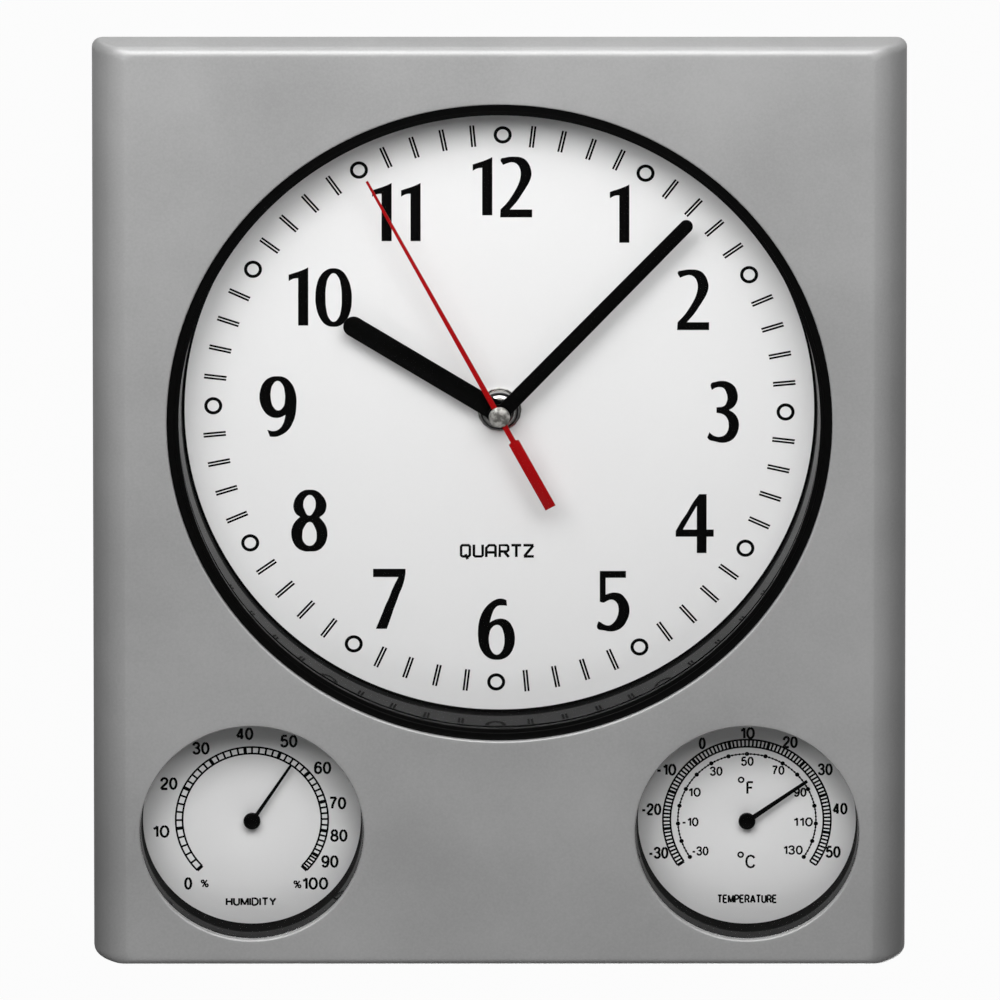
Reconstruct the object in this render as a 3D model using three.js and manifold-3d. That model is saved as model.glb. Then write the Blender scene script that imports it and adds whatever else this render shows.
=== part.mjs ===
// A wall clock with a hygrometer and a thermometer below its dial. Sizes are in millimetres.
// +Z is up, +X is to the right and the front looks along -Y. The origin is where the nail carries
// the clock, in the keyhole of the back cover, on the plane of the wall.
import * as THREE from "three";
import { mergeVertices } from "three/addons/utils/BufferGeometryUtils.js";
import Module from "manifold-3d";

const wasm = await Module();
wasm.setup();

// Case: a silver front shell and a black back cover that tapers towards the wall
const caseWidth = 250;
const caseHeight = 295;
const caseDepth = 36;
const shellDepth = 13;
const sideRoll = 10;
const edgeRadius = 2.5;
const cornerRadius = 3;
const shellWall = 2.5;
const panelThickness = 2.2;
const openingLip = 0.6;
const coverWall = 2.2;
const coverRear = 2;
const coverStep = 0.8;
const coverTaper = 8.2;
const coverEdge = 2.5;
const coverCorner = 9;
const lipDepth = 3;
const lipWall = 1.5;
const lipRoot = 4;
const hangDrop = 27;

// Keyhole for the nail or screw
const keyholeSlot = 4.6;
const keyholeEntry = 10;
const keyholeDrop = 10;

// Air slots behind each gauge
const ventCount = 4;
const ventLength = 26;
const ventWidth = 2;
const ventPitch = 6;

// The dial and the gauges keep these distances from the edges of the case
const heightBesideDial = 90.5;
const dialTopMargin = 18.05;
const gaugeSideMargin = 48.7;
const gaugeBottomMargin = 42.7;
const gaugeOpening = 34.5;
const ringClearance = 0.15;

// Bezel, glass, spacer and dial, as depths behind the front of the case
const bezelLipDepth = 1;
const bezelFace = 3.65;
const bezelStepWidth = 1.3;
const bezelStepDepth = 0.3;
const bezelFlange = 0.8;
const bezelRimWall = 1.3;
const glassOverlap = 7.9;
const glassThickness = 1.8;
const glassClearance = 0.2;
const dialDepth = 16;
const spacerTaper = 1.1;
const spacerLedge = 0.7;
const spacerLedgeDepth = 0.8;
const spacerWall = 5;
const dialPlateMargin = 9.2;
const dialPlateThickness = 1.6;
const earMargin = 9.75;
const earRadius = 5.5;

// Screws and the bosses they bite into
const bossRadius = 3.5;
const screwHead = 2.8;
const screwHeadHeight = 1.8;
const screwShank = 1.3;
const screwPlay = 0.15;
const dialScrewGrip = 8;
const coverScrewSideMargin = 17;
const coverScrewEndMargin = 16.5;
const coverScrewGrip = 8;
const wellRadius = 4.6;
const wellBore = 3.3;
const wellFloor = 2;

// Movement: a square case on the back of the dial, with layers from its front face
const movementSide = 56;
const movementDepth = 15.2;
const movementWall = 1.2;
const movementCorner = 2.5;
const movementWindow = 2;
const rubberThickness = 1;
const bushingRadius = 4;
const bushingPlay = 0.08;
const shaftPlay = 0.05;
const hourPipe = 2.5;
const hourPipeBore = 1.65;
const minutePipe = 1.6;
const minutePipeBore = 0.55;
const secondArbor = 0.5;
const arborRadius = 0.4;
const settingArbor = 1.2;
const batteryLength = 50.5;
const batteryDiameter = 14.5;
const batteryPlay = 0.3;
const partitionWall = 1;
const coverPlate = 1.2;
const hourWheelLayer = 1.4;
const minuteWheelLayer = 2.7;
const middlePlateLayer = 4.0;
const middlePlateThickness = 1.0;
const centreWheelLayer = 5.3;
const thirdWheelLayer = 6.5;
const secondWheelLayer = 7.7;
const fifthWheelLayer = 8.9;
const rotorLayer = 10.1;
const stopGap = 0.1;
const wheelThickness = 0.6;
const hourWheelThickness = 0.9;
const pinionMargin = 0.15;
const pipeShoulder = 1;

// Posts on the floor of the movement case, as places from the middle of the movement
const postRadius = 1.5;
const platePosts = [
  [-14, 10.5],
  [8.4, 11],
  [-13, -15],
  [8.4, -18.5],
];
const boardPosts = [
  [-20, 20],
  [4, 20],
];
const plateMargins = { left: 3, right: 1.6, ends: 2.5, corner: 1.5 };

// Motor: the rotor's magnet, the stator plate and the coil on its core
const magnetRadius = 3;
const magnetHeight = 2;
const magnetGap = 0.4;
const statorLayer = 10.6;
const statorThickness = 1;
const statorRim = 0.9;
const statorCorner = 4;
const armHalf = 2;
const armReach = 4;
const coilX = -21.5;
const coilTopZ = 9.5;
const coilBottomZ = -14.5;
const coilMargin = 3;
const coreWidth = 3;
const windingRadius = 2.7;
const bobbinRadius = 3.3;
const bobbinFlange = 0.8;

// Circuit board, its sealed chip and the crystal
const boardLayer = 10;
const boardThickness = 1;
const boardWidth = 30;
const boardHeight = 10.4;
const boardCorner = 1;
const boardX = -8.5;
const boardZ = 20.4;
const chipX = -2;
const chipRadius = 3;
const chipHeight = 1.4;
const crystalX = -12;
const crystalRadius = 1;
const crystalLength = 6;

// Battery terminal, contacts and the knob that sets the hands
const batteryEdge = 0.8;
const terminalRadius = 2.75;
const terminalHeight = 1.1;
const contactPlay = 0.05;
const contactThickness = 0.4;
const contactReach = 5;
const contactHeight = 11;
const springReach = 1.9;
const springWidth = 6;
const knobRadius = 5.5;
const knobGap = 0.2;
const knobThickness = 1.7;
const knobGrips = 12;
const knobGroove = 0.44;

// Gear train: leaves of the pinions, teeth of the wheels and the distances of their axes
const pinionLeaves = 8;
const rotorLeaves = 6;
const fifthTeeth = 36;
const fifthLeaves = 6;
const secondTeeth = 30;
const secondLeaves = 6;
const thirdTeeth = 45;
const thirdLeaves = 6;
const centreTeeth = 48;
const minuteTeeth = 24;
const hourTeeth = 32;
const thirdDistance = 6.12;
const thirdDirection = 135;
const minuteDistance = 10;
const minuteDirection = 270;
const fifthDistance = 6;
const fifthDirection = 200;
const rotorDistance = 5.04;
const rotorDirection = 180;
const wheelFrom = 12;
const toothShare = 0.42;
const tipShare = 0.16;
const addendum = 0.85;
const dedendum = 1.15;

// Nut, washers and hands. Heights are those of the front faces above the dial.
const nutRadius = 6.2;
const nutHeight = 3.3;
const nutThickness = 2.4;
const nutRim = 0.7;
const nutChamfer = 0.2;
const nutSlope = 0.3;
const nutDish = 0.9;
const nutWasherRadius = 6.8;
const rubberWasherRadius = 9;
const bushingHeight = 3.6;
const handThickness = 0.5;
const hubWall = 1.1;
const hubDepth = 0.35;
const hourHandHeight = 4.6;
const hourHandLength = 55.9;
const hourHandWidth = 6.4;
const hourHubMargin = 1.4;
const hourHandAngle = 301.8;
const minuteHandHeight = 7.0;
const minuteHandMargin = 13.1;
const minuteHandWidth = 4.6;
const minuteHandTip = 4.1;
const minuteHubMargin = 1.9;
const minuteHandAngle = 43.4;
const secondHandHeight = 8.7;
const secondHandThickness = 0.35;
const secondHandMargin = 12.7;
const secondHandRoot = 1.7;
const secondHandTip = 0.8;
const secondHandTail = 33.2;
const tailStart = 9.3;
const tailShoulder = 0.4;
const tailWidth = 3.5;
const secondHandAngle = 331.7;
const pipeProud = 0.4;
const capRadius = 3.25;
const capTop = 10;
const capDome = [
  [0.55, 0.12],
  [0.88, 0.42],
  [1, 0.8],
];
const fitGap = 0.06;

// Gauges: a stepped cup, a glass, a dial and a needle on the shaft of a coil
const gaugeLipDepth = 0.6;
const gaugeGlassDepth = 0.9;
const gaugeGlassThickness = 1.5;
const gaugeGlassRadius = 33.8;
const gaugeSight = 33.6;
const gaugeBase = 33.2;
const gaugeDialDepth = 14.3;
const gaugeDialThickness = 0.5;
const gaugeFlange = 36.4;
const gaugeFlangeDepth = 1.2;
const gaugeWall = 1.4;
const gaugeFloor = 1.2;
const coilWell = 14;
const coilWellDepth = 5;
const needleHeight = 2.1;
const needleThickness = 0.3;
const needleHub = 2.6;
const needleHubHeight = 1.1;
const needleHubFront = 0.3;
const needleHubEdge = 0.4;
const needleShaft = 0.6;
const needleRoot = 1.3;
const needleTip = 0.6;
const hygrometerNeedle = 21.9;
const hygrometerReading = 33.5;
const thermometerNeedle = 22.7;
const thermometerReading = 54.8;
const gaugeBush = 1.8;
const bushProud = 0.8;
const needleHole = 0.4;
const glassPlay = 0.1;
const wellHoles = 4;
const wellHoleRadius = 2;
const wellHoleShare = 0.6;
const coilInner = 2.2;
const coilOuter = 11.5;
const coilStrip = 0.4;
const coilHeight = 3;
const coilTurns = 3;
const stepsPerTurn = 10;
const coilGap = 0.8;
const colletGap = 0.6;
const coilTab = 1;
const coilTabPlay = 0.3;

// Round forms: sides of the large rings, the gauges, small turned parts and fine ones
const ringSides = 48;
const gaugeSides = 30;
const turnedSides = 16;
const smallSides = 12;
const fineSides = 8;
const overshoot = 1;

// Derived sizes shared by more than one piece
const caseMiddleZ = hangDrop - caseHeight / 2;
const dialOpening = (caseHeight - heightBesideDial) / 2;
const dialRise = caseHeight / 2 - dialTopMargin - dialOpening;
const bezelSight = dialOpening - bezelFace;
const earReach = dialOpening + earMargin;
const gaugeSpread = caseWidth - gaugeSideMargin * 2;
const gaugeDrop = caseHeight / 2 - gaugeBottomMargin;
const coverScrewX = caseWidth / 2 - coverScrewSideMargin;
const coverScrewZ = caseHeight / 2 - coverScrewEndMargin;
const minuteHandLength = bezelSight - minuteHandMargin;
const secondHandLength = bezelSight - secondHandMargin;
const glassRadius = bezelSight + glassOverlap;
const glassFront = panelThickness + bezelFlange;
const glassBack = glassFront + glassThickness;
const dialPlateRadius = bezelSight - spacerTaper + dialPlateMargin;
const dialBack = dialDepth + dialPlateThickness;
const movementFront = dialBack + rubberThickness;
const coverInside = movementDepth - coverPlate;
const halfMovement = movementSide / 2;
const batteryRadius = batteryDiameter / 2;
const batteryX = halfMovement - movementWall - batteryPlay - batteryRadius;
const partitionX = batteryX - batteryRadius - batteryPlay - partitionWall;
const coreLayer = statorLayer - statorThickness;
const contactShift = (springReach - contactThickness) / 2;
const gaugeDialBack = gaugeDialDepth + gaugeDialThickness;
const gaugeFloorBack = gaugeDialBack + gaugeFloor;
const wellBack = gaugeFloorBack + coilWellDepth;

// Materials
const paint = (color, roughness, metalness = 0, opacity = 1) =>
  new THREE.MeshStandardMaterial({
    color,
    roughness,
    metalness,
    opacity,
    transparent: opacity < 1,
  });
const silver = paint(0xa6a6a6, 0.38, 0.55);
const blackGloss = paint(0x050505, 0.12);
const blackPlastic = paint(0x141414, 0.55);
const clear = paint(0xf2f6f6, 0.04, 0, 0.18);
const dialWhite = paint(0xe4e4e4, 0.6);
const handBlack = paint(0x060606, 0.35);
const handRed = paint(0x9c0c0c, 0.35);
const chrome = paint(0xc4c2bd, 0.18, 1);
const brass = paint(0xb59a55, 0.3, 1);
const steel = paint(0x9a9c9f, 0.3, 1);
const nylon = paint(0xe9e7df, 0.5);
const copper = paint(0xa85a2a, 0.35, 0.8);
const rubber = paint(0x1b1b1b, 0.9);
const boardGreen = paint(0x2c5a35, 0.6);
const batteryWrap = paint(0x3a4048, 0.35, 0.2);

// A closed geometry as a solid: only its positions count, with shared vertices merged.
function solidOf(geometry) {
  const bare = new THREE.BufferGeometry();
  bare.setAttribute("position", geometry.getAttribute("position"));
  if (geometry.index) bare.setIndex(geometry.index);
  const merged = mergeVertices(bare, 1e-4);
  const solid = new wasm.Manifold(
    new wasm.Mesh({
      numProp: 3,
      vertProperties: merged.attributes.position.array,
      triVerts: new Uint32Array(merged.index.array),
    }),
  );
  return solid;
}

// A solid as a flat-shaded geometry.
function geometryOf(solid) {
  const mesh = solid.getMesh();
  const geometry = new THREE.BufferGeometry();
  geometry.setAttribute("position", new THREE.BufferAttribute(mesh.vertProperties, 3));
  geometry.setIndex(new THREE.BufferAttribute(mesh.triVerts, 1));
  const flat = geometry.toNonIndexed();
  flat.computeVertexNormals();
  return flat;
}

// One named piece, placed by the group it goes into.
function addPiece(group, name, solid, material) {
  const mesh = new THREE.Mesh(geometryOf(solid), material);
  mesh.name = name;
  group.add(mesh);
  return mesh;
}

// A group at a place on the front of the clock, whose own Y is the depth behind the front.
function groupAt(x, z, depth = 0) {
  const group = new THREE.Group();
  group.position.set(x, depth, z);
  return group;
}

// A revolve about Y. The profile lists [radius, depth] and is closed, or ends on the axis.
function revolve(profile, sides = turnedSides) {
  const points = profile.map(([radius, depth]) => new THREE.Vector2(radius, depth));
  const onAxis = profile[0][0] === 0 && profile[profile.length - 1][0] === 0;
  let area = 0;
  for (let i = 0; i < points.length; i++) {
    const next = points[(i + 1) % points.length];
    area += points[i].x * next.y - next.x * points[i].y;
  }
  if (area < 0) points.reverse();
  if (!onAxis) points.push(points[0].clone());
  return solidOf(new THREE.LatheGeometry(points, sides));
}

// A turned ring between two radii and two depths.
function tube(outer, inner, from, to, sides = turnedSides) {
  return revolve([[inner, from], [outer, from], [outer, to], [inner, to]], sides);
}

// A round bar along Y at a place.
function bar(x, z, radius, from, to, sides = smallSides) {
  const geometry = new THREE.CylinderGeometry(radius, radius, to - from, sides);
  geometry.translate(x, (from + to) / 2, z);
  return solidOf(geometry);
}

// A box between two corners.
function box(x0, x1, from, to, z0, z1) {
  const geometry = new THREE.BoxGeometry(x1 - x0, to - from, z1 - z0);
  geometry.translate((x0 + x1) / 2, (from + to) / 2, (z0 + z1) / 2);
  return solidOf(geometry);
}

// A flat outline in X and Z, extruded from one depth to another.
function plate(shape, from, to, curveSegments = 6) {
  const geometry = new THREE.ExtrudeGeometry(shape, {
    depth: to - from,
    bevelEnabled: false,
    curveSegments,
  });
  geometry.rotateX(Math.PI / 2);
  geometry.translate(0, to, 0);
  return solidOf(geometry);
}

// A rectangle with round corners, centred on a point.
function roundedRectangle(width, height, radius, x = 0, z = 0) {
  const w = width / 2 - radius;
  const h = height / 2 - radius;
  const shape = new THREE.Shape();
  shape.absarc(x + w, z + h, radius, 0, Math.PI / 2);
  shape.absarc(x - w, z + h, radius, Math.PI / 2, Math.PI);
  shape.absarc(x - w, z - h, radius, Math.PI, Math.PI * 1.5);
  shape.absarc(x + w, z - h, radius, Math.PI * 1.5, Math.PI * 2);
  return shape;
}

// A closed ring of points round a rectangle with round corners, at one depth.
function caseRing(halfWidth, halfHeight, radius, depth) {
  const steps = 3;
  const ring = [];
  for (let corner = 0; corner < 4; corner++) {
    const sx = corner === 0 || corner === 3 ? 1 : -1;
    const sz = corner < 2 ? 1 : -1;
    for (let i = 0; i <= steps; i++) {
      const angle = ((corner + i / steps) * Math.PI) / 2;
      const x = sx * (halfWidth - radius) + radius * Math.cos(angle);
      const z = sz * (halfHeight - radius) + radius * Math.sin(angle);
      ring.push([x, depth, z]);
    }
  }
  return ring;
}

// A loft through rings of equal counts, from the front one to the rear one.
function loft(rings) {
  const count = rings[0].length;
  const positions = rings.flat().flat();
  const first = rings[0][0][1];
  const last = rings[rings.length - 1][0][1];
  positions.push(0, first, 0, 0, last, 0);
  const frontCentre = rings.length * count;
  const rearCentre = frontCentre + 1;
  const faces = [];
  for (let k = 0; k < count; k++) {
    const next = (k + 1) % count;
    for (let i = 0; i + 1 < rings.length; i++) {
      const a = i * count + k;
      const b = i * count + next;
      const c = a + count;
      const d = b + count;
      faces.push(a, c, b, b, c, d);
    }
    const rear = (rings.length - 1) * count;
    faces.push(frontCentre, k, next, rearCentre, rear + next, rear + k);
  }
  const geometry = new THREE.BufferGeometry();
  geometry.setAttribute("position", new THREE.Float32BufferAttribute(positions, 3));
  geometry.setIndex(faces);
  return solidOf(geometry);
}

// Half width and half height of the front shell at a depth: rolled sides, rounded top and bottom.
function shellHalfWidth(depth) {
  const t = Math.min(depth / shellDepth, 1);
  return caseWidth / 2 - sideRoll + sideRoll * Math.sqrt(1 - (1 - t) ** 2);
}

function shellHalfHeight(depth) {
  const t = Math.min(depth / edgeRadius, 1);
  return caseHeight / 2 - edgeRadius + edgeRadius * Math.sqrt(1 - (1 - t) ** 2);
}

function shellRing(depth, inset = 0) {
  const halfWidth = shellHalfWidth(depth) - inset;
  const halfHeight = shellHalfHeight(depth) - inset;
  return caseRing(halfWidth, halfHeight, cornerRadius, depth);
}

// Depths that follow the small front edge closely and then the long roll of the sides.
function shellDepths() {
  const edge = [0, 45, 90].map((a) => edgeRadius * (1 - Math.cos((a * Math.PI) / 180)));
  const roll = [50, 70, 90].map((a) => shellDepth * (1 - Math.cos((a * Math.PI) / 180)));
  return [...edge, ...roll.filter((depth) => depth > edgeRadius)];
}

// The four places of a screw pattern.
const signs = [
  [1, 1],
  [-1, 1],
  [-1, -1],
  [1, -1],
];
const coverScrews = signs.map(([sx, sz]) => [sx * coverScrewX, sz * coverScrewZ]);
const earAngle = Math.PI / 4;
const earOffset = earReach * Math.cos(earAngle);
const dialScrews = signs.map(([sx, sz]) => [sx * earOffset, sz * earOffset]);

// A tool that cuts a round opening through the front panel and rounds its front edge.
function openingTool(x, z, radius, sides) {
  const tool = revolve(
    [
      [0, -overshoot],
      [radius + openingLip, -overshoot],
      [radius + openingLip, 0],
      [radius, openingLip],
      [radius, shellDepth],
      [0, shellDepth],
    ],
    sides,
  );
  return tool.translate([x, 0, z]);
}

// A boss behind the front panel with a blind hole for a screw.
function addBoss(shell, x, z, end, grip) {
  const boss = bar(x, z, bossRadius, panelThickness / 2, end, fineSides);
  const hole = bar(x, z, screwShank + screwPlay, end - grip - overshoot, end + overshoot, fineSides);
  return shell.add(boss).subtract(hole);
}

function frontCase() {
  const depths = shellDepths();
  let shell = loft(depths.map((depth) => shellRing(depth)));
  const inner = [panelThickness, ...depths.filter((depth) => depth > panelThickness * 1.5)];
  const rings = inner.map((depth) => shellRing(depth, shellWall));
  const past = shellRing(shellDepth, shellWall).map(([x, depth, z]) => [x, depth + overshoot, z]);
  shell = shell.subtract(loft([...rings, past]));
  shell = shell.subtract(openingTool(0, dialRise, dialOpening, ringSides));
  for (const side of [-1, 1]) {
    const x = (side * gaugeSpread) / 2;
    shell = shell.subtract(openingTool(x, -gaugeDrop, gaugeOpening, gaugeSides));
  }
  for (const [x, z] of dialScrews) {
    shell = addBoss(shell, x, z + dialRise, dialDepth, dialScrewGrip);
  }
  for (const [x, z] of coverScrews) {
    shell = addBoss(shell, x, z, shellDepth, coverScrewGrip);
  }
  return shell;
}

// Half sizes of the back cover, which tapers from the front shell to the wall.
function coverRing(depth, inset, round = 0) {
  const share = (depth - shellDepth) / (caseDepth - shellDepth);
  const inward = coverStep + coverTaper * share + round + inset;
  return caseRing(caseWidth / 2 - inward, caseHeight / 2 - inward, coverCorner, depth);
}

// The round slot and the round entry of the keyhole, cut through the rear wall.
function keyholeTool() {
  const slot = keyholeSlot / 2;
  const from = caseDepth - coverRear - overshoot;
  const to = caseDepth + overshoot;
  const z = caseHeight / 2 - hangDrop;
  const shape = new THREE.Shape();
  shape.absarc(0, z, slot, 0, Math.PI);
  shape.lineTo(-slot, z - keyholeDrop);
  shape.lineTo(slot, z - keyholeDrop);
  const entry = bar(0, z - keyholeDrop, keyholeEntry / 2, from, to, 16);
  return plate(shape, from, to).add(entry);
}

// A deep well that carries the head of a cover screw down to the boss in the front shell.
function addWell(cover, x, z) {
  const rear = caseDepth - coverRear / 2;
  const outer = bar(x, z, wellRadius, shellDepth, rear, fineSides);
  const bore = bar(x, z, wellBore, shellDepth + wellFloor, caseDepth + overshoot, fineSides);
  const hole = bar(x, z, screwShank + screwPlay, shellDepth - overshoot, caseDepth, fineSides);
  return cover.add(outer).subtract(bore).subtract(hole);
}

function backCover() {
  const rounded = [45, 90].map((a) => (a * Math.PI) / 180);
  const rear = rounded.map((a) => {
    const depth = caseDepth - coverEdge * (1 - Math.sin(a));
    return coverRing(depth, 0, coverEdge * (1 - Math.cos(a)));
  });
  const outer = [coverRing(shellDepth, 0), coverRing(caseDepth - coverEdge, 0), ...rear];
  const inner = [
    coverRing(shellDepth, coverWall).map(([x, depth, z]) => [x, depth - overshoot, z]),
    coverRing(shellDepth, coverWall),
    coverRing(caseDepth - coverRear, coverWall),
  ];
  let cover = loft(outer).subtract(loft(inner));
  const lipFront = shellDepth - lipDepth;
  const lipRear = shellDepth + lipRoot;
  const lipInset = shellWall + ringClearance;
  const lipSize = (depth, extra) => {
    const halfWidth = shellHalfWidth(lipFront) - lipInset - extra;
    const halfHeight = caseHeight / 2 - lipInset - extra;
    return caseRing(halfWidth, halfHeight, coverCorner, depth);
  };
  const lip = loft([lipSize(lipFront, 0), lipSize(lipRear, 0)]);
  const lipHollow = [lipFront - overshoot, lipRear + overshoot].map((d) => lipSize(d, lipWall));
  cover = cover.add(lip.subtract(loft(lipHollow)));
  for (const [x, z] of coverScrews) cover = addWell(cover, x, z);
  const windowSide = movementSide + 2 * movementWindow;
  const rearFrom = caseDepth - coverRear - overshoot;
  const rearTo = caseDepth + overshoot;
  const windowShape = roundedRectangle(windowSide, windowSide, movementCorner, 0, dialRise);
  cover = cover.subtract(plate(windowShape, rearFrom, rearTo, 3));
  cover = cover.subtract(keyholeTool());
  for (const side of [-1, 1]) {
    for (let i = 0; i < ventCount; i++) {
      const x = (side * gaugeSpread) / 2;
      const z = -gaugeDrop + (i - (ventCount - 1) / 2) * ventPitch;
      const vent = roundedRectangle(ventLength, ventWidth, ventWidth / 3, x, z);
      cover = cover.subtract(plate(vent, rearFrom, rearTo, 1));
    }
  }
  return cover;
}

// A pan-head screw whose head lies against a seat at one depth and whose shank runs forwards.
function screw(x, z, seat, length) {
  const turned = revolve(
    [
      [0, seat - length],
      [screwShank, seat - length + screwShank],
      [screwShank, seat],
      [screwHead, seat],
      [screwHead * 0.7, seat + screwHeadHeight],
      [0, seat + screwHeadHeight],
    ],
    fineSides,
  );
  return turned.translate([x, 0, z]);
}

// Bezel: the sight ring in front of the glass, with a fine step, and the rim round the glass
function bezelRing() {
  const outer = dialOpening - ringClearance;
  const rimInner = glassRadius + glassClearance;
  const rimOuter = rimInner + bezelRimWall;
  return revolve(
    [
      [bezelSight, bezelLipDepth + bezelStepDepth],
      [bezelSight + bezelStepWidth, bezelLipDepth + bezelStepDepth],
      [bezelSight + bezelStepWidth, bezelLipDepth],
      [outer, bezelLipDepth],
      [outer, panelThickness],
      [rimOuter, panelThickness],
      [rimOuter, glassBack],
      [rimInner, glassBack],
      [rimInner, glassFront],
      [bezelSight, glassFront],
    ],
    ringSides,
  );
}

function mainLens() {
  return revolve(
    [
      [0, glassFront],
      [glassRadius, glassFront],
      [glassRadius, glassBack],
      [0, glassBack],
    ],
    ringSides,
  );
}

function spacerRing() {
  const base = bezelSight - spacerTaper;
  const outer = base + spacerWall;
  return revolve(
    [
      [bezelSight, glassBack],
      [outer, glassBack],
      [outer, dialDepth],
      [base - spacerLedge, dialDepth],
      [base - spacerLedge, dialDepth - spacerLedgeDepth],
      [base, dialDepth - spacerLedgeDepth],
    ],
    ringSides,
  );
}

function dialPlate() {
  let disc = revolve(
    [
      [0, dialDepth],
      [dialPlateRadius, dialDepth],
      [dialPlateRadius, dialBack],
      [0, dialBack],
    ],
    ringSides,
  );
  for (const [x, z] of dialScrews) {
    const angle = Math.atan2(z, x);
    const root = (dialPlateRadius - earRadius) / earReach;
    const shape = new THREE.Shape();
    shape.absarc(x, z, earRadius, angle - Math.PI / 2, angle + Math.PI / 2);
    shape.absarc(x * root, z * root, earRadius, angle + Math.PI / 2, angle + Math.PI * 1.5);
    disc = disc.add(plate(shape, dialDepth, dialBack, 4));
    const radius = screwShank + screwPlay;
    const hole = bar(x, z, radius, dialDepth - overshoot, dialBack + overshoot, fineSides);
    disc = disc.subtract(hole);
  }
  const hole = bushingRadius + bushingPlay;
  return disc.subtract(bar(0, 0, hole, dialDepth - overshoot, dialBack + overshoot, turnedSides));
}

// The outline of a wheel or a pinion. A pinion's leaf has a flat root on each side, and the
// teeth of a wheel meet in a V that lies deeper, so that both are equally thick at the pitch circle.
function wheelOutline(teeth, module, phase) {
  const pitch = (Math.PI * 2) / teeth;
  const pitchRadius = (teeth * module) / 2;
  const tip = pitchRadius + addendum * module;
  const root = pitchRadius - dedendum * module;
  const flank = (toothShare - tipShare) / addendum;
  const rootShare = toothShare + flank * dedendum;
  const valley = pitchRadius - (module * (1 - toothShare)) / flank;
  const leaf = [
    [root, -rootShare / 2],
    [tip, -tipShare / 2],
    [tip, tipShare / 2],
    [root, rootShare / 2],
  ];
  const tooth = [
    [valley, -0.5],
    [tip, -tipShare / 2],
    [tip, tipShare / 2],
  ];
  const corners = teeth < wheelFrom ? leaf : tooth;
  const points = [];
  for (let i = 0; i < teeth; i++) {
    for (const [radius, share] of corners) {
      const angle = phase + (i + share) * pitch;
      points.push(new THREE.Vector2(radius * Math.cos(angle), radius * Math.sin(angle)));
    }
  }
  return new THREE.Shape(points);
}

// A toothed disc between two depths, at a place.
function toothed(axis, teeth, module, phase, from, to) {
  const wheel = plate(wheelOutline(teeth, module, phase), from, to);
  return wheel.translate([axis.x, 0, axis.z]);
}

const radians = (degrees) => (degrees * Math.PI) / 180;

// A point at a distance and a direction from another, directions counted from +X towards +Z.
function polar(from, distance, direction) {
  const angle = radians(direction);
  return { x: from.x + distance * Math.cos(angle), z: from.z + distance * Math.sin(angle) };
}

// The phase that brings a wheel into mesh with another one that lies in a known direction from it.
function meshPhase(teeth, otherTeeth, otherPhase, directionFromOther) {
  const direction = radians(directionFromOther);
  const turns = ((direction - otherPhase) * otherTeeth) / (Math.PI * 2);
  const own = 0.5 - turns;
  return direction + Math.PI - (own * Math.PI * 2) / teeth;
}

// Axes of the train in the movement, seen from the front
const centre = { x: 0, z: 0 };
const thirdAxis = polar(centre, thirdDistance, thirdDirection);
const minuteAxis = polar(centre, minuteDistance, minuteDirection);
const fifthAxis = polar(centre, fifthDistance, fifthDirection);
const rotorAxis = polar(fifthAxis, rotorDistance, rotorDirection);

// Modules that follow from the distances of the axes
const thirdModule = (2 * thirdDistance) / (secondLeaves + thirdTeeth);
const centreModule = (2 * thirdDistance) / (thirdLeaves + centreTeeth);
const cannonModule = (2 * minuteDistance) / (pinionLeaves + minuteTeeth);
const hourModule = (2 * minuteDistance) / (pinionLeaves + hourTeeth);
const secondModule = (2 * fifthDistance) / (fifthLeaves + secondTeeth);
const rotorModule = (2 * rotorDistance) / (rotorLeaves + fifthTeeth);

// The arbor of a train wheel, from its pivot hole in the middle plate to the one in the cover
const pivotFrom = middlePlateLayer + middlePlateThickness / 2;
const pivotTo = coverInside + coverPlate / 2;

function trainArbor(axis) {
  return bar(axis.x, axis.z, arborRadius, pivotFrom, pivotTo, fineSides);
}

function thirdWheel() {
  const phase = meshPhase(thirdTeeth, secondLeaves, 0, thirdDirection);
  const wheelTo = thirdWheelLayer + wheelThickness;
  const pinionFrom = centreWheelLayer - pinionMargin;
  return toothed(thirdAxis, thirdTeeth, thirdModule, phase, thirdWheelLayer, wheelTo)
    .add(toothed(thirdAxis, thirdLeaves, centreModule, 0, pinionFrom, thirdWheelLayer))
    .add(trainArbor(thirdAxis));
}

function fifthWheel() {
  const wheelTo = fifthWheelLayer + wheelThickness;
  const pinionFrom = secondWheelLayer - pinionMargin;
  return toothed(fifthAxis, fifthTeeth, rotorModule, 0, fifthWheelLayer, wheelTo)
    .add(toothed(fifthAxis, fifthLeaves, secondModule, 0, pinionFrom, fifthWheelLayer))
    .add(trainArbor(fifthAxis));
}

function rotor() {
  const phase = meshPhase(rotorLeaves, fifthTeeth, 0, rotorDirection);
  const pinionFrom = fifthWheelLayer - pinionMargin;
  const magnetTo = rotorLayer + magnetHeight;
  return toothed(rotorAxis, rotorLeaves, rotorModule, phase, pinionFrom, rotorLayer)
    .add(bar(rotorAxis.x, rotorAxis.z, magnetRadius, rotorLayer, magnetTo, turnedSides))
    .add(trainArbor(rotorAxis));
}

function secondWheel() {
  const front = dialDepth - secondHandHeight - pipeProud - movementFront;
  const phase = meshPhase(secondTeeth, fifthLeaves, 0, fifthDirection + 180);
  const wheelTo = secondWheelLayer + wheelThickness;
  const pinionFrom = thirdWheelLayer - pinionMargin;
  return toothed(centre, secondTeeth, secondModule, phase, secondWheelLayer, wheelTo)
    .add(toothed(centre, secondLeaves, thirdModule, 0, pinionFrom, secondWheelLayer))
    .add(bar(0, 0, secondArbor, front, pivotTo));
}

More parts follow.
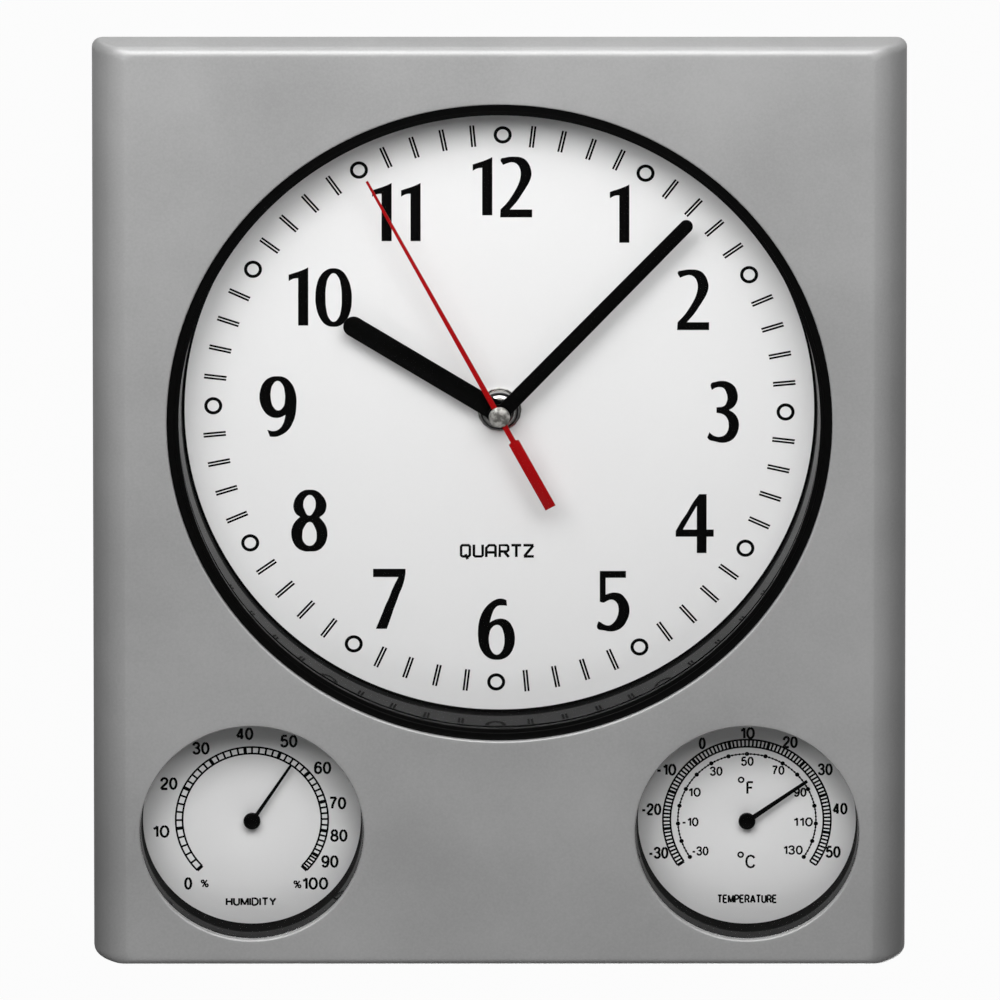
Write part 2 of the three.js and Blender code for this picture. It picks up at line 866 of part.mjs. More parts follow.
function centreWheel() {
  const phase = meshPhase(centreTeeth, thirdLeaves, 0, thirdDirection + 180);
  const to = centreWheelLayer + wheelThickness;
  const disc = toothed(centre, centreTeeth, centreModule, phase, centreWheelLayer, to);
  const hole = bar(0, 0, minutePipe + fitGap, centreWheelLayer - overshoot, to + overshoot, turnedSides);
  return disc.subtract(hole);
}

// The pipe of the minute hand, with the cannon pinion, a shoulder and the seat of the clutch
function centrePipe() {
  const front = dialDepth - minuteHandHeight - pipeProud - movementFront;
  const to = centreWheelLayer + wheelThickness + stopGap;
  const shoulderFrom = middlePlateLayer + middlePlateThickness + stopGap;
  const shoulder = minutePipe + pipeShoulder;
  const cannonFrom = minuteWheelLayer - pinionMargin;
  const cannonTo = middlePlateLayer - stopGap;
  return tube(minutePipe, minutePipeBore, front, to)
    .add(
      toothed(centre, pinionLeaves, cannonModule, 0, cannonFrom, cannonTo).subtract(
        bar(0, 0, minutePipeBore + shaftPlay, cannonFrom - overshoot, cannonTo + overshoot),
      ),
    )
    .add(tube(shoulder, minutePipeBore, shoulderFrom, centreWheelLayer))
    .subtract(bar(0, 0, minutePipeBore, front - overshoot, to + overshoot, turnedSides));
}

function minuteWheel() {
  const phase = meshPhase(minuteTeeth, pinionLeaves, 0, minuteDirection);
  const wheelTo = minuteWheelLayer + wheelThickness;
  const pinionFrom = hourWheelLayer;
  const front = movementWall - stopGap * 3;
  const rear = movementDepth + knobGap + knobThickness;
  return toothed(minuteAxis, minuteTeeth, cannonModule, phase, minuteWheelLayer, wheelTo)
    .add(toothed(minuteAxis, pinionLeaves, hourModule, 0, pinionFrom, minuteWheelLayer))
    .add(bar(minuteAxis.x, minuteAxis.z, settingArbor, front, rear));
}

function hourWheel() {
  const phase = meshPhase(hourTeeth, pinionLeaves, 0, minuteDirection + 180);
  const front = dialDepth - hourHandHeight - pipeProud - movementFront;
  const to = hourWheelLayer + hourWheelThickness;
  return toothed(centre, hourTeeth, hourModule, phase, hourWheelLayer, to)
    .add(tube(hourPipe, hourPipeBore, front, to))
    .subtract(bar(0, 0, hourPipeBore, front - overshoot, to + overshoot, turnedSides));
}

function bushing() {
  const front = dialDepth - bushingHeight - movementFront;
  return tube(bushingRadius, hourPipe + shaftPlay, front, movementWall);
}

// The square tub of the movement, with the battery bay, a partition and the posts
function movementCase() {
  const outline = roundedRectangle(movementSide, movementSide, movementCorner);
  let tub = plate(outline, 0, movementDepth, 4);
  const z = halfMovement - movementWall;
  const left = -halfMovement + movementWall;
  const bay = partitionX + partitionWall;
  tub = tub.subtract(box(left, partitionX, movementWall, movementDepth + overshoot, -z, z));
  tub = tub.subtract(
    box(bay, halfMovement - movementWall, movementWall, movementDepth + overshoot, -z, z),
  );
  for (const [x, pz] of platePosts) {
    tub = tub.add(bar(x, pz, postRadius, movementWall / 2, middlePlateLayer, fineSides));
  }
  for (const [x, pz] of boardPosts) {
    tub = tub.add(bar(x, pz, postRadius, movementWall / 2, boardLayer, fineSides));
  }
  for (const pz of [coilTopZ, coilBottomZ]) {
    tub = tub.add(bar(coilX, pz, postRadius, movementWall / 2, coreLayer, fineSides));
  }
  const hole = bar(0, 0, bushingRadius + fitGap, -1, movementWall + overshoot, turnedSides);
  const pivot = bar(
    minuteAxis.x,
    minuteAxis.z,
    settingArbor + shaftPlay,
    movementWall / 2,
    movementWall + overshoot,
  );
  return tub.subtract(hole).subtract(pivot);
}

// The plate between the motion work and the train, with a hole at each axis
function middlePlate() {
  const left = platePosts[0][0] - plateMargins.left;
  const right = platePosts[1][0] + plateMargins.right;
  const top = platePosts[1][1] + plateMargins.ends;
  const bottom = platePosts[3][1] - plateMargins.ends;
  const from = middlePlateLayer;
  const to = middlePlateLayer + middlePlateThickness;
  const shape = roundedRectangle(
    right - left,
    top - bottom,
    plateMargins.corner,
    (left + right) / 2,
    (top + bottom) / 2,
  );
  let sheet = plate(shape, from, to, 3);
  const holes = [
    [centre, minutePipe + shaftPlay, turnedSides],
    [minuteAxis, settingArbor + shaftPlay, smallSides],
    [thirdAxis, arborRadius + shaftPlay, fineSides],
    [fifthAxis, arborRadius + shaftPlay, fineSides],
    [rotorAxis, arborRadius + shaftPlay, fineSides],
  ];
  for (const [axis, radius, sides] of holes) {
    sheet = sheet.subtract(bar(axis.x, axis.z, radius, from - overshoot, to + overshoot, sides));
  }
  return sheet;
}

// The plate that closes the gear side of the movement from behind, with pivot holes
function movementCover() {
  const from = coverInside;
  const left = -halfMovement + movementWall + fitGap;
  const right = partitionX - fitGap;
  const z = halfMovement - movementWall - fitGap;
  let lid = box(left, right, from, movementDepth, -z, z);
  for (const axis of [centre, thirdAxis, fifthAxis, rotorAxis]) {
    const radius = (axis === centre ? secondArbor : arborRadius) + shaftPlay;
    lid = lid.subtract(bar(axis.x, axis.z, radius, from - overshoot, pivotTo + stopGap, fineSides));
  }
  const arbor = settingArbor + shaftPlay;
  return lid.subtract(bar(minuteAxis.x, minuteAxis.z, arbor, from - overshoot, movementDepth + overshoot));
}

function settingKnob() {
  const from = movementDepth + knobGap;
  const to = from + knobThickness;
  const points = [];
  for (let i = 0; i < knobGrips * 2; i++) {
    const angle = (i * Math.PI) / knobGrips;
    const radius = i % 2 ? knobRadius - knobGroove : knobRadius;
    points.push(new THREE.Vector2(radius * Math.cos(angle), radius * Math.sin(angle)));
  }
  const knob = plate(new THREE.Shape(points), from, to);
  const hole = bar(0, 0, settingArbor + fitGap, from - overshoot, to + overshoot);
  return knob.subtract(hole).translate([minuteAxis.x, 0, minuteAxis.z]);
}

// The stator: a flat C whose arms reach the ends of the coil, with the hole of the rotor
function statorPlate() {
  const hole = magnetRadius + magnetGap;
  const right = rotorAxis.x + hole + statorRim;
  const left = coilX - armHalf;
  const inside = coilX + armReach;
  const top = coilTopZ + armHalf;
  const bottom = coilBottomZ - armHalf;
  const shape = new THREE.Shape();
  shape.moveTo(left, top);
  shape.lineTo(left, coilTopZ - armHalf);
  shape.lineTo(inside, coilTopZ - armHalf);
  shape.lineTo(inside + 1, coilTopZ - armHalf * 2);
  shape.lineTo(inside + 1, coilBottomZ + armHalf * 2);
  shape.lineTo(inside, coilBottomZ + armHalf);
  shape.lineTo(left, coilBottomZ + armHalf);
  shape.lineTo(left, bottom);
  shape.lineTo(right - statorCorner, bottom);
  shape.lineTo(right, bottom + statorCorner + 1);
  shape.lineTo(right, top - statorCorner - 1);
  shape.lineTo(right - statorCorner, top);
  const to = statorLayer + statorThickness;
  const sheet = plate(shape, statorLayer, to);
  const cut = bar(rotorAxis.x, rotorAxis.z, hole, statorLayer - overshoot, to + overshoot, turnedSides);
  return sheet.subtract(cut);
}

// The coil on its core: a wound bobbin between two flanges
function coil() {
  const from = coilBottomZ + coilMargin;
  const to = coilTopZ - coilMargin;
  const profile = [
    [0, from],
    [bobbinRadius, from],
    [bobbinRadius, from + bobbinFlange],
    [windingRadius, from + bobbinFlange],
    [windingRadius, to - bobbinFlange],
    [bobbinRadius, to - bobbinFlange],
    [bobbinRadius, to],
    [0, to],
  ];
  const bobbin = revolve(profile, smallSides).rotate([90, 0, 0]);
  const middle = coreLayer + statorThickness / 2;
  const half = coreWidth / 2;
  const core = box(
    coilX - half,
    coilX + half,
    coreLayer,
    coreLayer + statorThickness,
    coilBottomZ - armHalf,
    coilTopZ + armHalf,
  );
  return bobbin.translate([coilX, middle, 0]).add(core);
}

// The circuit board with the sealed chip on it
function circuitBoard() {
  const to = boardLayer + boardThickness;
  const shape = roundedRectangle(boardWidth, boardHeight, boardCorner, boardX, boardZ);
  const chip = revolve([
    [0, to - boardThickness / 2],
    [chipRadius, to - boardThickness / 2],
    [chipRadius, to],
    [chipRadius * 0.75, to + chipHeight * 0.7],
    [0, to + chipHeight],
  ]);
  return plate(shape, boardLayer, to, 2).add(chip.translate([chipX, 0, boardZ]));
}

// The crystal: a small can that lies across the board
function quartzCrystal() {
  const can = revolve(
    [
      [0, 0],
      [crystalRadius, crystalRadius / 5],
      [crystalRadius, crystalLength],
      [0, crystalLength],
    ],
    smallSides,
  );
  const depth = boardLayer + boardThickness + crystalRadius + fitGap;
  return can.rotate([0, 0, 90]).translate([crystalX, depth, boardZ]);
}

// Battery, lying along Z in its bay, with the small terminal at the top
function battery() {
  const half = batteryLength / 2;
  const shoulder = half - terminalHeight;
  const can = revolve(
    [
      [0, -half],
      [batteryRadius - batteryEdge, -half],
      [batteryRadius, -half + batteryEdge],
      [batteryRadius, shoulder - batteryEdge],
      [batteryRadius - batteryEdge, shoulder],
      [terminalRadius, shoulder],
      [terminalRadius, half - 0.2],
      [terminalRadius - 0.3, half],
      [0, half],
    ],
    smallSides,
  );
  const depth = movementWall + batteryPlay / 2 + batteryRadius;
  return can.rotate([90, 0, 0]).translate([batteryX, depth, contactShift]);
}

// A flat contact across one end of the bay, at the top or at the bottom
function contactPlate(sign) {
  const near = sign * (halfMovement - movementWall - contactPlay);
  const far = near - sign * contactThickness;
  const low = Math.min(near, far);
  const high = Math.max(near, far);
  const from = movementWall + contactPlay;
  const to = from + contactHeight;
  return box(batteryX - contactReach, batteryX + contactReach, from, to, low, high);
}

function contactPositive() {
  return contactPlate(1);
}

// The sprung contact: a plate with a bowed tongue towards the battery
function contactNegative() {
  const inner = -(halfMovement - movementWall - contactPlay - contactThickness);
  const depth = movementWall + contactPlay;
  const root = inner - contactThickness / 2;
  const crest = inner + springReach - 0.3;
  const strip = contactThickness;
  const outline = [
    [1, root],
    [6, crest],
    [8, crest],
    [10, inner + 0.4],
    [9.6, inner + 0.3],
    [7.8, crest - strip],
    [6.2, crest - strip],
    [1.6, root],
  ];
  const shape = new THREE.Shape(outline.map(([d, z]) => new THREE.Vector2(depth + d, z)));
  const tongue = new THREE.ExtrudeGeometry(shape, { depth: springWidth, bevelEnabled: false });
  const turn = new THREE.Matrix4().makeBasis(
    new THREE.Vector3(0, 1, 0),
    new THREE.Vector3(0, 0, 1),
    new THREE.Vector3(1, 0, 0),
  );
  tongue.applyMatrix4(turn);
  tongue.translate(batteryX - springWidth / 2, 0, 0);
  return contactPlate(-1).add(solidOf(tongue));
}

// A flat hand seen from the front, pointing up, from a list of half widths along its length
function handShape(widths, tipRadius) {
  const shape = new THREE.Shape();
  const [first, ...rest] = widths;
  const last = widths[widths.length - 1];
  shape.moveTo(first[1], first[0]);
  for (const [z, half] of rest) shape.lineTo(half, z);
  if (tipRadius > 0) shape.absarc(0, last[0], tipRadius, 0, Math.PI);
  for (const [z, half] of [...widths].reverse()) shape.lineTo(-half, z);
  return shape;
}

// A hand on its hub: the blade, a round hub plate and a short pipe behind it
function hand(shape, height, thickness, hubRadius, bore, hubLength) {
  const front = dialDepth - height;
  const back = front + thickness;
  const pipe = bore + hubWall;
  const hub = bar(0, 0, hubRadius, front, back, turnedSides);
  const collar = bar(0, 0, pipe, front, back + hubLength, turnedSides);
  const hole = bar(0, 0, bore, front - overshoot, back + hubLength + overshoot, turnedSides);
  return plate(shape, front, back, 6).add(hub).add(collar).subtract(hole);
}

function hourHand() {
  const half = hourHandWidth / 2;
  const shape = handShape([[0, half], [hourHandLength - half, half]], half);
  const hub = half + hourHubMargin;
  return hand(shape, hourHandHeight, handThickness, hub, hourPipe + fitGap, hubDepth);
}

function minuteHand() {
  const root = minuteHandWidth / 2;
  const tip = minuteHandTip / 2;
  const shape = handShape([[0, root], [minuteHandLength - tip, tip]], tip);
  const hub = root + minuteHubMargin;
  return hand(shape, minuteHandHeight, handThickness, hub, minutePipe + fitGap, hubDepth);
}

function secondHand() {
  const root = secondHandRoot / 2;
  const tip = secondHandTip / 2;
  const tail = tailWidth / 2;
  const shape = handShape(
    [
      [-secondHandTail, tail],
      [-tailStart, tail],
      [-tailStart + tailShoulder, root],
      [0, root],
      [secondHandLength, tip],
    ],
    0,
  );
  const bore = secondArbor + fitGap;
  return hand(shape, secondHandHeight, secondHandThickness, capRadius - 1, bore, hubDepth);
}

function secondHandCap() {
  const top = dialDepth - capTop;
  const base = dialDepth - secondHandHeight;
  const pocket = dialDepth - secondHandHeight - pipeProud - stopGap;
  const cap = revolve(
    [
      [0, top],
      ...capDome.map(([share, depth]) => [capRadius * share, top + depth]),
      [capRadius, base],
      [0, base],
    ],
    turnedSides,
  );
  return cap.subtract(bar(0, 0, secondArbor + fitGap, pocket, base + overshoot));
}

// A round nut with a raised rim and a dished face
function fixingNut() {
  const front = dialDepth - nutHeight;
  const bore = bushingRadius + bushingPlay;
  return revolve(
    [
      [bore, front + nutDish],
      [nutRadius - nutRim - nutSlope, front + nutDish - nutSlope],
      [nutRadius - nutRim, front],
      [nutRadius - nutChamfer, front],
      [nutRadius, front + nutChamfer],
      [nutRadius, front + nutThickness],
      [bore, front + nutThickness],
    ],
    turnedSides,
  );
}

function nutWasher() {
  const front = dialDepth - nutHeight + nutThickness;
  return tube(nutWasherRadius, bushingRadius + bushingPlay, front, dialDepth);
}

function rubberWasher() {
  return tube(rubberWasherRadius, bushingRadius + bushingPlay, dialBack, movementFront);
}

// The stepped cup of a gauge: lip and flange in the panel, wall, floor and the well of the coil
function gaugeCup() {
  const lip = gaugeOpening - ringClearance;
  const recess = gaugeGlassRadius + glassPlay;
  const glassSeat = gaugeGlassDepth + gaugeGlassThickness;
  const flangeBack = panelThickness + gaugeFlangeDepth;
  const wall = gaugeBase + gaugeWall;
  const cup = revolve(
    [
      [recess, gaugeLipDepth],
      [lip, gaugeLipDepth],
      [lip, panelThickness],
      [gaugeFlange, panelThickness],
      [gaugeFlange, flangeBack],
      [wall, flangeBack],
      [wall, gaugeFloorBack],
      [coilWell + gaugeWall, gaugeFloorBack],
      [coilWell + gaugeWall, wellBack + gaugeFloor],
      [0, wellBack + gaugeFloor],
      [0, wellBack],
      [coilWell, wellBack],
      [coilWell, gaugeDialBack],
      [gaugeBase, gaugeDialBack],
      [gaugeBase, gaugeDialDepth],
      [gaugeSight, glassSeat],
      [recess, glassSeat],
    ],
    gaugeSides,
  );
  const from = wellBack - overshoot;
  const to = wellBack + gaugeFloor + overshoot;
  let vented = cup.subtract(bar(0, 0, gaugeBush + fitGap, from, to));
  for (let i = 0; i < wellHoles; i++) {
    const place = polar(centre, coilWell * wellHoleShare, (i * 360) / wellHoles);
    vented = vented.subtract(bar(place.x, place.z, wellHoleRadius, from, to, 6));
  }
  return vented;
}

function gaugeLens() {
  const to = gaugeGlassDepth + gaugeGlassThickness;
  return bar(0, 0, gaugeGlassRadius, gaugeGlassDepth, to, gaugeSides);
}

function gaugeDial() {
  const disc = bar(0, 0, gaugeBase - glassPlay, gaugeDialDepth, gaugeDialBack, gaugeSides);
  const hole = bar(0, 0, needleShaft + needleHole, gaugeDialDepth - overshoot, gaugeDialBack + overshoot);
  return disc.subtract(hole);
}

function gaugeNeedle(length) {
  const front = gaugeDialDepth - needleHeight;
  const back = front + needleThickness;
  const hubBack = front + needleHubHeight;
  const shape = handShape([[0, needleRoot / 2], [length, needleTip / 2]], 0);
  const hub = revolve(
    [
      [0, front - needleHubFront],
      [needleHub - needleHubEdge, front - needleHubFront],
      [needleHub, front],
      [needleHub, hubBack],
      [0, hubBack],
    ],
    turnedSides,
  );
  const collet = coilInner - colletGap;
  const colletFrom = gaugeDialBack + coilGap;
  return plate(shape, front, back)
    .add(hub)
    .add(bar(0, 0, needleShaft, front, wellBack + gaugeFloor - stopGap, fineSides))
    .add(bar(0, 0, collet, colletFrom, colletFrom + coilHeight, fineSides));
}

// The bush at the bottom of the well, in which the shaft of the needle turns
function gaugeBushing() {
  const bore = needleShaft + shaftPlay;
  return tube(gaugeBush, bore, wellBack - bushProud, wellBack + gaugeFloor, smallSides);
}

// A flat spiral strip, from beside the collet of the shaft out to the wall of the well
function gaugeCoil() {
  const from = gaugeDialBack + coilGap;
  const to = from + coilHeight;
  const half = coilStrip / 2;
  const steps = coilTurns * stepsPerTurn;
  const outerEdge = [];
  const innerEdge = [];
  for (let i = 0; i <= steps; i++) {
    const angle = (i * Math.PI * 2) / stepsPerTurn;
    const radius = coilInner + ((coilOuter - coilInner) * i) / steps;
    const dir = [Math.cos(angle), Math.sin(angle)];
    outerEdge.push(new THREE.Vector2(dir[0] * (radius + half), dir[1] * (radius + half)));
    innerEdge.push(new THREE.Vector2(dir[0] * (radius - half), dir[1] * (radius - half)));
  }
  const strip = plate(new THREE.Shape([...outerEdge, ...innerEdge.reverse()]), from, to);
  const tabEnd = coilWell - coilTabPlay;
  const tab = box(coilOuter - half, tabEnd, from, to, -coilTab / 2, coilTab / 2);
  return strip.add(tab);
}

const clock = new THREE.Group();

// Case, cover and the screws that join them
const caseGroup = groupAt(0, caseMiddleZ, -caseDepth);
clock.add(caseGroup);
addPiece(caseGroup, "front_case", frontCase(), silver);
addPiece(caseGroup, "back_cover", backCover(), blackPlastic);
coverScrews.forEach(([x, z], i) => {
  const length = wellFloor + coverScrewGrip;
  const piece = screw(x, z, shellDepth + wellFloor, length);
  addPiece(caseGroup, `back_screw_${i + 1}`, piece, steel);
});

// Dial, its glass and its rings
const dialGroup = groupAt(0, caseMiddleZ + dialRise, -caseDepth);
clock.add(dialGroup);
addPiece(dialGroup, "bezel_ring", bezelRing(), blackGloss);
addPiece(dialGroup, "main_lens", mainLens(), clear);
addPiece(dialGroup, "spacer_ring", spacerRing(), blackGloss);
addPiece(dialGroup, "dial_plate", dialPlate(), dialWhite);
dialScrews.forEach(([x, z], i) => {
  const length = dialPlateThickness + dialScrewGrip;
  addPiece(dialGroup, `dial_screw_${i + 1}`, screw(x, z, dialBack, length), steel);
});
addPiece(dialGroup, "fixing_nut", fixingNut(), chrome);
addPiece(dialGroup, "nut_washer", nutWasher(), brass);
addPiece(dialGroup, "rubber_washer", rubberWasher(), rubber);

// Hands, each turned clockwise from twelve
const hands = [
  ["hour_hand", hourHand(), handBlack, hourHandAngle],
  ["minute_hand", minuteHand(), handBlack, minuteHandAngle],
  ["second_hand", secondHand(), handRed, secondHandAngle],
  ["second_hand_cap", secondHandCap(), chrome, secondHandAngle],
];
for (const [name, solid, material, angle] of hands) {
  addPiece(dialGroup, name, solid, material).rotation.y = radians(angle);
}

// Movement
const movementGroup = groupAt(0, 0, movementFront);
dialGroup.add(movementGroup);
addPiece(movementGroup, "movement_case", movementCase(), blackPlastic);
addPiece(movementGroup, "bushing", bushing(), brass);
addPiece(movementGroup, "middle_plate", middlePlate(), blackPlastic);
addPiece(movementGroup, "movement_cover", movementCover(), blackPlastic);
addPiece(movementGroup, "hour_wheel", hourWheel(), nylon);
addPiece(movementGroup, "minute_wheel", minuteWheel(), nylon);
addPiece(movementGroup, "centre_pipe", centrePipe(), brass);
addPiece(movementGroup, "centre_wheel", centreWheel(), nylon);
addPiece(movementGroup, "third_wheel", thirdWheel(), nylon);
addPiece(movementGroup, "second_wheel", secondWheel(), nylon);
addPiece(movementGroup, "fifth_wheel", fifthWheel(), nylon);
addPiece(movementGroup, "rotor", rotor(), steel);
addPiece(movementGroup, "stator", statorPlate(), steel);
addPiece(movementGroup, "coil", coil(), copper);
addPiece(movementGroup, "circuit_board", circuitBoard(), boardGreen);
addPiece(movementGroup, "quartz_crystal", quartzCrystal(), chrome);
addPiece(movementGroup, "battery", battery(), batteryWrap);
addPiece(movementGroup, "contact_positive", contactPositive(), chrome);
addPiece(movementGroup, "contact_negative", contactNegative(), chrome);
addPiece(movementGroup, "setting_knob", settingKnob(), nylon);

// The two gauges
const gauges = [
  ["hygrometer", -1, hygrometerNeedle, hygrometerReading],
  ["thermometer", 1, thermometerNeedle, thermometerReading],
];
for (const [name, side, needle, reading] of gauges) {
  const group = groupAt((side * gaugeSpread) / 2, caseMiddleZ - gaugeDrop, -caseDepth);
  clock.add(group);
  addPiece(group, `${name}_cup`, gaugeCup(), blackGloss);
  addPiece(group, `${name}_lens`, gaugeLens(), clear);
  addPiece(group, `${name}_dial`, gaugeDial(), dialWhite);
  addPiece(group, `${name}_bush`, gaugeBushing(), brass);
  addPiece(group, `${name}_coil`, gaugeCoil(), brass);
  addPiece(group, `${name}_needle`, gaugeNeedle(needle), handBlack).rotation.y = radians(reading);
}

export default clock;
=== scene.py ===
import math

import bmesh
import bpy
from mathutils import Matrix, Vector


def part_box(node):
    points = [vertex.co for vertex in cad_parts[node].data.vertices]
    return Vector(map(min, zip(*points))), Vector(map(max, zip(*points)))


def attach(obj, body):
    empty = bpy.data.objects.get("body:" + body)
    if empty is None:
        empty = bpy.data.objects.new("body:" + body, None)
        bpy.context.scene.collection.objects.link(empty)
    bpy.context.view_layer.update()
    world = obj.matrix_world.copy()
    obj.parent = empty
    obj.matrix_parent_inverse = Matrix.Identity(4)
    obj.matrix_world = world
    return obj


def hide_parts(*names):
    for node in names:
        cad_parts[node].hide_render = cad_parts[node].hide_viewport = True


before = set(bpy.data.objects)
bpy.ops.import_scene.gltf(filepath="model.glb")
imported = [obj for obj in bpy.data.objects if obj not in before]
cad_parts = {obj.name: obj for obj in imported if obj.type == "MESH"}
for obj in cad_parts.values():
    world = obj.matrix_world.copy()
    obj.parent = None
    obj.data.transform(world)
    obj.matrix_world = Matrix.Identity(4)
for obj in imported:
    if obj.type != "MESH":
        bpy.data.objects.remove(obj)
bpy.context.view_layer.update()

# Front case: one moulding of silver-coated plastic, flat in front, with long rolls at the left and
# right, a small radius at the top and bottom, and three round openings. Bosses behind the panel
# take the screws of the dial and of the back cover.

# All shapes are drawn in millimetres from a middle: X to the right, Y backwards, Z up.
case_low, case_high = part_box("front_case")
case_middle = Vector((0, case_low.y, (case_low.z + case_high.z) / 2))
case_half_width, case_half_height, shell_depth = 125, 147.5, 13
side_roll, edge_radius, corner_radius = 10, 2.5, 3
panel_thickness, shell_wall, opening_lip, land = 2.2, 2.5, 0.6, 1.0
dial_rise, dial_opening = 27.2, 102.25
gauge_x, gauge_z, gauge_opening = 76.3, -104.8, 34.5
openings = [(0, dial_rise, dial_opening, 240), (-gauge_x, gauge_z, gauge_opening, 144),
            (gauge_x, gauge_z, gauge_opening, 144)]
boss_radius, boss_bore, print_depth = 3.5, 1.45, 16
corner_signs = [(1, 1), (-1, 1), (-1, -1), (1, -1)]
ear_offset = 112 * math.sqrt(0.5)
screw_places = {"back": [(x * 108, z * 131) for x, z in corner_signs],
                "dial": [(x * ear_offset, dial_rise + z * ear_offset) for x, z in corner_signs]}


class Socket:
    """An output of a shader node. Sums and products of sockets become Math nodes."""

    def __init__(self, tree, end=None):
        self.tree, self.end = tree, end

    def node(self, kind, settings, values, out=0):
        made = self.tree.nodes.new("ShaderNode" + kind)
        for name, value in settings.items():
            setattr(made, name, value)
        for key, value in values.items():
            if isinstance(value, Socket):
                self.tree.links.new(value.end, made.inputs[key])
            else:
                made.inputs[key].default_value = value
        return Socket(self.tree, made.outputs[out] if made.outputs else None)

    def math(self, operation, *terms):
        return self.node("Math", {"operation": operation}, dict(enumerate(terms)))

    def __add__(self, other):
        return self.math("ADD", self, other)

    def __sub__(self, other):
        return self.math("SUBTRACT", self, other)

    def __rsub__(self, other):
        return self.math("SUBTRACT", other, self)

    def __mul__(self, other):
        return self.math("MULTIPLY", self, other)

    def __pow__(self, other):
        return self.math("POWER", self, other)

    __radd__ = __add__
    __rmul__ = __mul__

    def between(self, low, high):
        """0 at low, 1 at high, with a soft start and end."""
        return self.node("MapRange", {"interpolation_type": "SMOOTHSTEP"},
                         {"Value": self, "From Min": low, "From Max": high})

    def mix(self, low, high):
        """The colour low where the socket is 0 and high where it is 1."""
        return self.node("Mix", {"data_type": "RGBA"}, {0: self, 6: low, 7: high}, 2)

    def noise(self, size, detail=2):
        """Noise whose lumps are about size metres across, for a socket of coordinates."""
        return self.node("TexNoise", {}, {"Vector": self, "Scale": 1 / size, "Detail": detail})

    def along(self, axis):
        return self.node("SeparateXYZ", {}, {0: self}, axis)

    def shifted(self, to=(0, 0, 0), scale=(1, 1, 1)):
        """Coordinates counted from another place, and squeezed by a scale along each axis."""
        at_zero = self.node("VectorMath", {"operation": "SUBTRACT"}, {0: self, 1: to})
        return self.node("Mapping", {}, {"Vector": at_zero, "Scale": scale})

    def bump(self, height, depth, strength=1.0):
        """A normal from a height of 0 to 1 that stands for depth metres."""
        return self.node("Bump", {}, {"Height": height, "Distance": depth, "Strength": strength},
                         "Normal")

    def surface(self, color, roughness, **more):
        names = {name.replace("_", " ").title().replace("Ior", "IOR"): value
                 for name, value in more.items()}
        return self.node("BsdfPrincipled", {},
                         {"Base Color": color, "Roughness": roughness, **names})


def grey(value):
    return (value, value, value, 1)


def finish(name, recipe, *settings):
    """A material whose recipe turns object coordinates and its settings into a surface."""
    made = bpy.data.materials.new(name)
    made.use_nodes = True
    made.node_tree.nodes.clear()
    here = Socket(made.node_tree).node("TexCoord", {}, {}, "Object")
    here.node("OutputMaterial", {}, {"Surface": recipe(here, *settings)})
    return made


def shift(shape, way):
    """Moves a whole shape."""
    bmesh.ops.translate(shape, vec=way, verts=shape.verts)


def turn_about(shape, axis, degrees):
    """Turns a whole shape about an axis through its middle."""
    bmesh.ops.rotate(shape, verts=shape.verts, cent=(0, 0, 0),
                     matrix=Matrix.Rotation(math.radians(degrees), 3, axis))


def into_scene(name, data):
    """A new object in the scene that shows a mesh, a curve, a lamp or a camera."""
    made = bpy.data.objects.new(name, data)
    bpy.context.scene.collection.objects.link(made)
    return made


def shape_object(shape, name, coat):
    """Turns a shape into an object with one material."""
    mesh = bpy.data.meshes.new(name)
    shape.to_mesh(mesh)
    shape.free()
    mesh.materials.append(coat)
    return into_scene(name, mesh)


def add_piece(shape, name, middle, coat, body, nodes, turn=0, crease=28):
    """Brings a shape in millimetres to its place, ties it to its body and hides the CAD nodes that
    it stands for.
    """
    turn_about(shape, "Y", turn)
    bmesh.ops.remove_doubles(shape, verts=shape.verts, dist=0.001)
    bmesh.ops.scale(shape, vec=(0.001, 0.001, 0.001), verts=shape.verts)
    shift(shape, middle)
    piece = shape_object(shape, name, coat)
    piece.data.shade_smooth()
    piece.data.set_sharp_from_angle(angle=math.radians(crease))
    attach(piece, body)
    if nodes:
        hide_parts(*nodes)


def circle_loop(shape, x, depth, z, radius, sides):
    """A round outline that faces the front."""
    facing = Matrix.Translation((x, depth, z)) @ Matrix.Rotation(math.radians(90), 4, "X")
    bmesh.ops.create_circle(shape, cap_ends=False, segments=sides, radius=radius, matrix=facing)


def round_off(shape, parts, reach, steps, kind):
    """Rounds corners or edges. The kind is VERTICES or EDGES."""
    bmesh.ops.bevel(shape, geom=parts, offset=reach, offset_type="OFFSET", segments=steps,
                    profile=0.5, affect=kind, material=-1, clamp_overlap=True)


def rounded_loop(shape, x, depth, z, width, height, radius, steps):
    """The outline of a rectangle with round corners."""
    ends = [shape.verts.new((x + sx * width / 2, depth, z + sz * height / 2))
            for sx, sz in ((-1, -1), (1, -1), (1, 1), (-1, 1))]
    shape.faces.new(ends)
    round_off(shape, ends, radius, steps, "VERTICES")
    bmesh.ops.delete(shape, geom=shape.faces[:], context="FACES_ONLY")


def fill_outlines(shape):
    """Fills the area between closed outlines, which leaves the inner ones open."""
    made = bmesh.ops.triangle_fill(shape, use_beauty=True, use_dissolve=False,
                                   edges=shape.edges[:], normal=(0, -1, 0))["geom"]
    return [f for f in made if isinstance(f, bmesh.types.BMFace)]


def rim_round(shape, x, z, radius, depth):
    """The open edges on a circle of that radius."""
    def on(vert):
        reach = math.hypot(vert.co.x - x, vert.co.z - z)
        return abs(reach - radius) < 0.02 and abs(vert.co.y - depth) < 0.001
    return [e for e in shape.edges if e.is_boundary and on(e.verts[0]) and on(e.verts[1])]


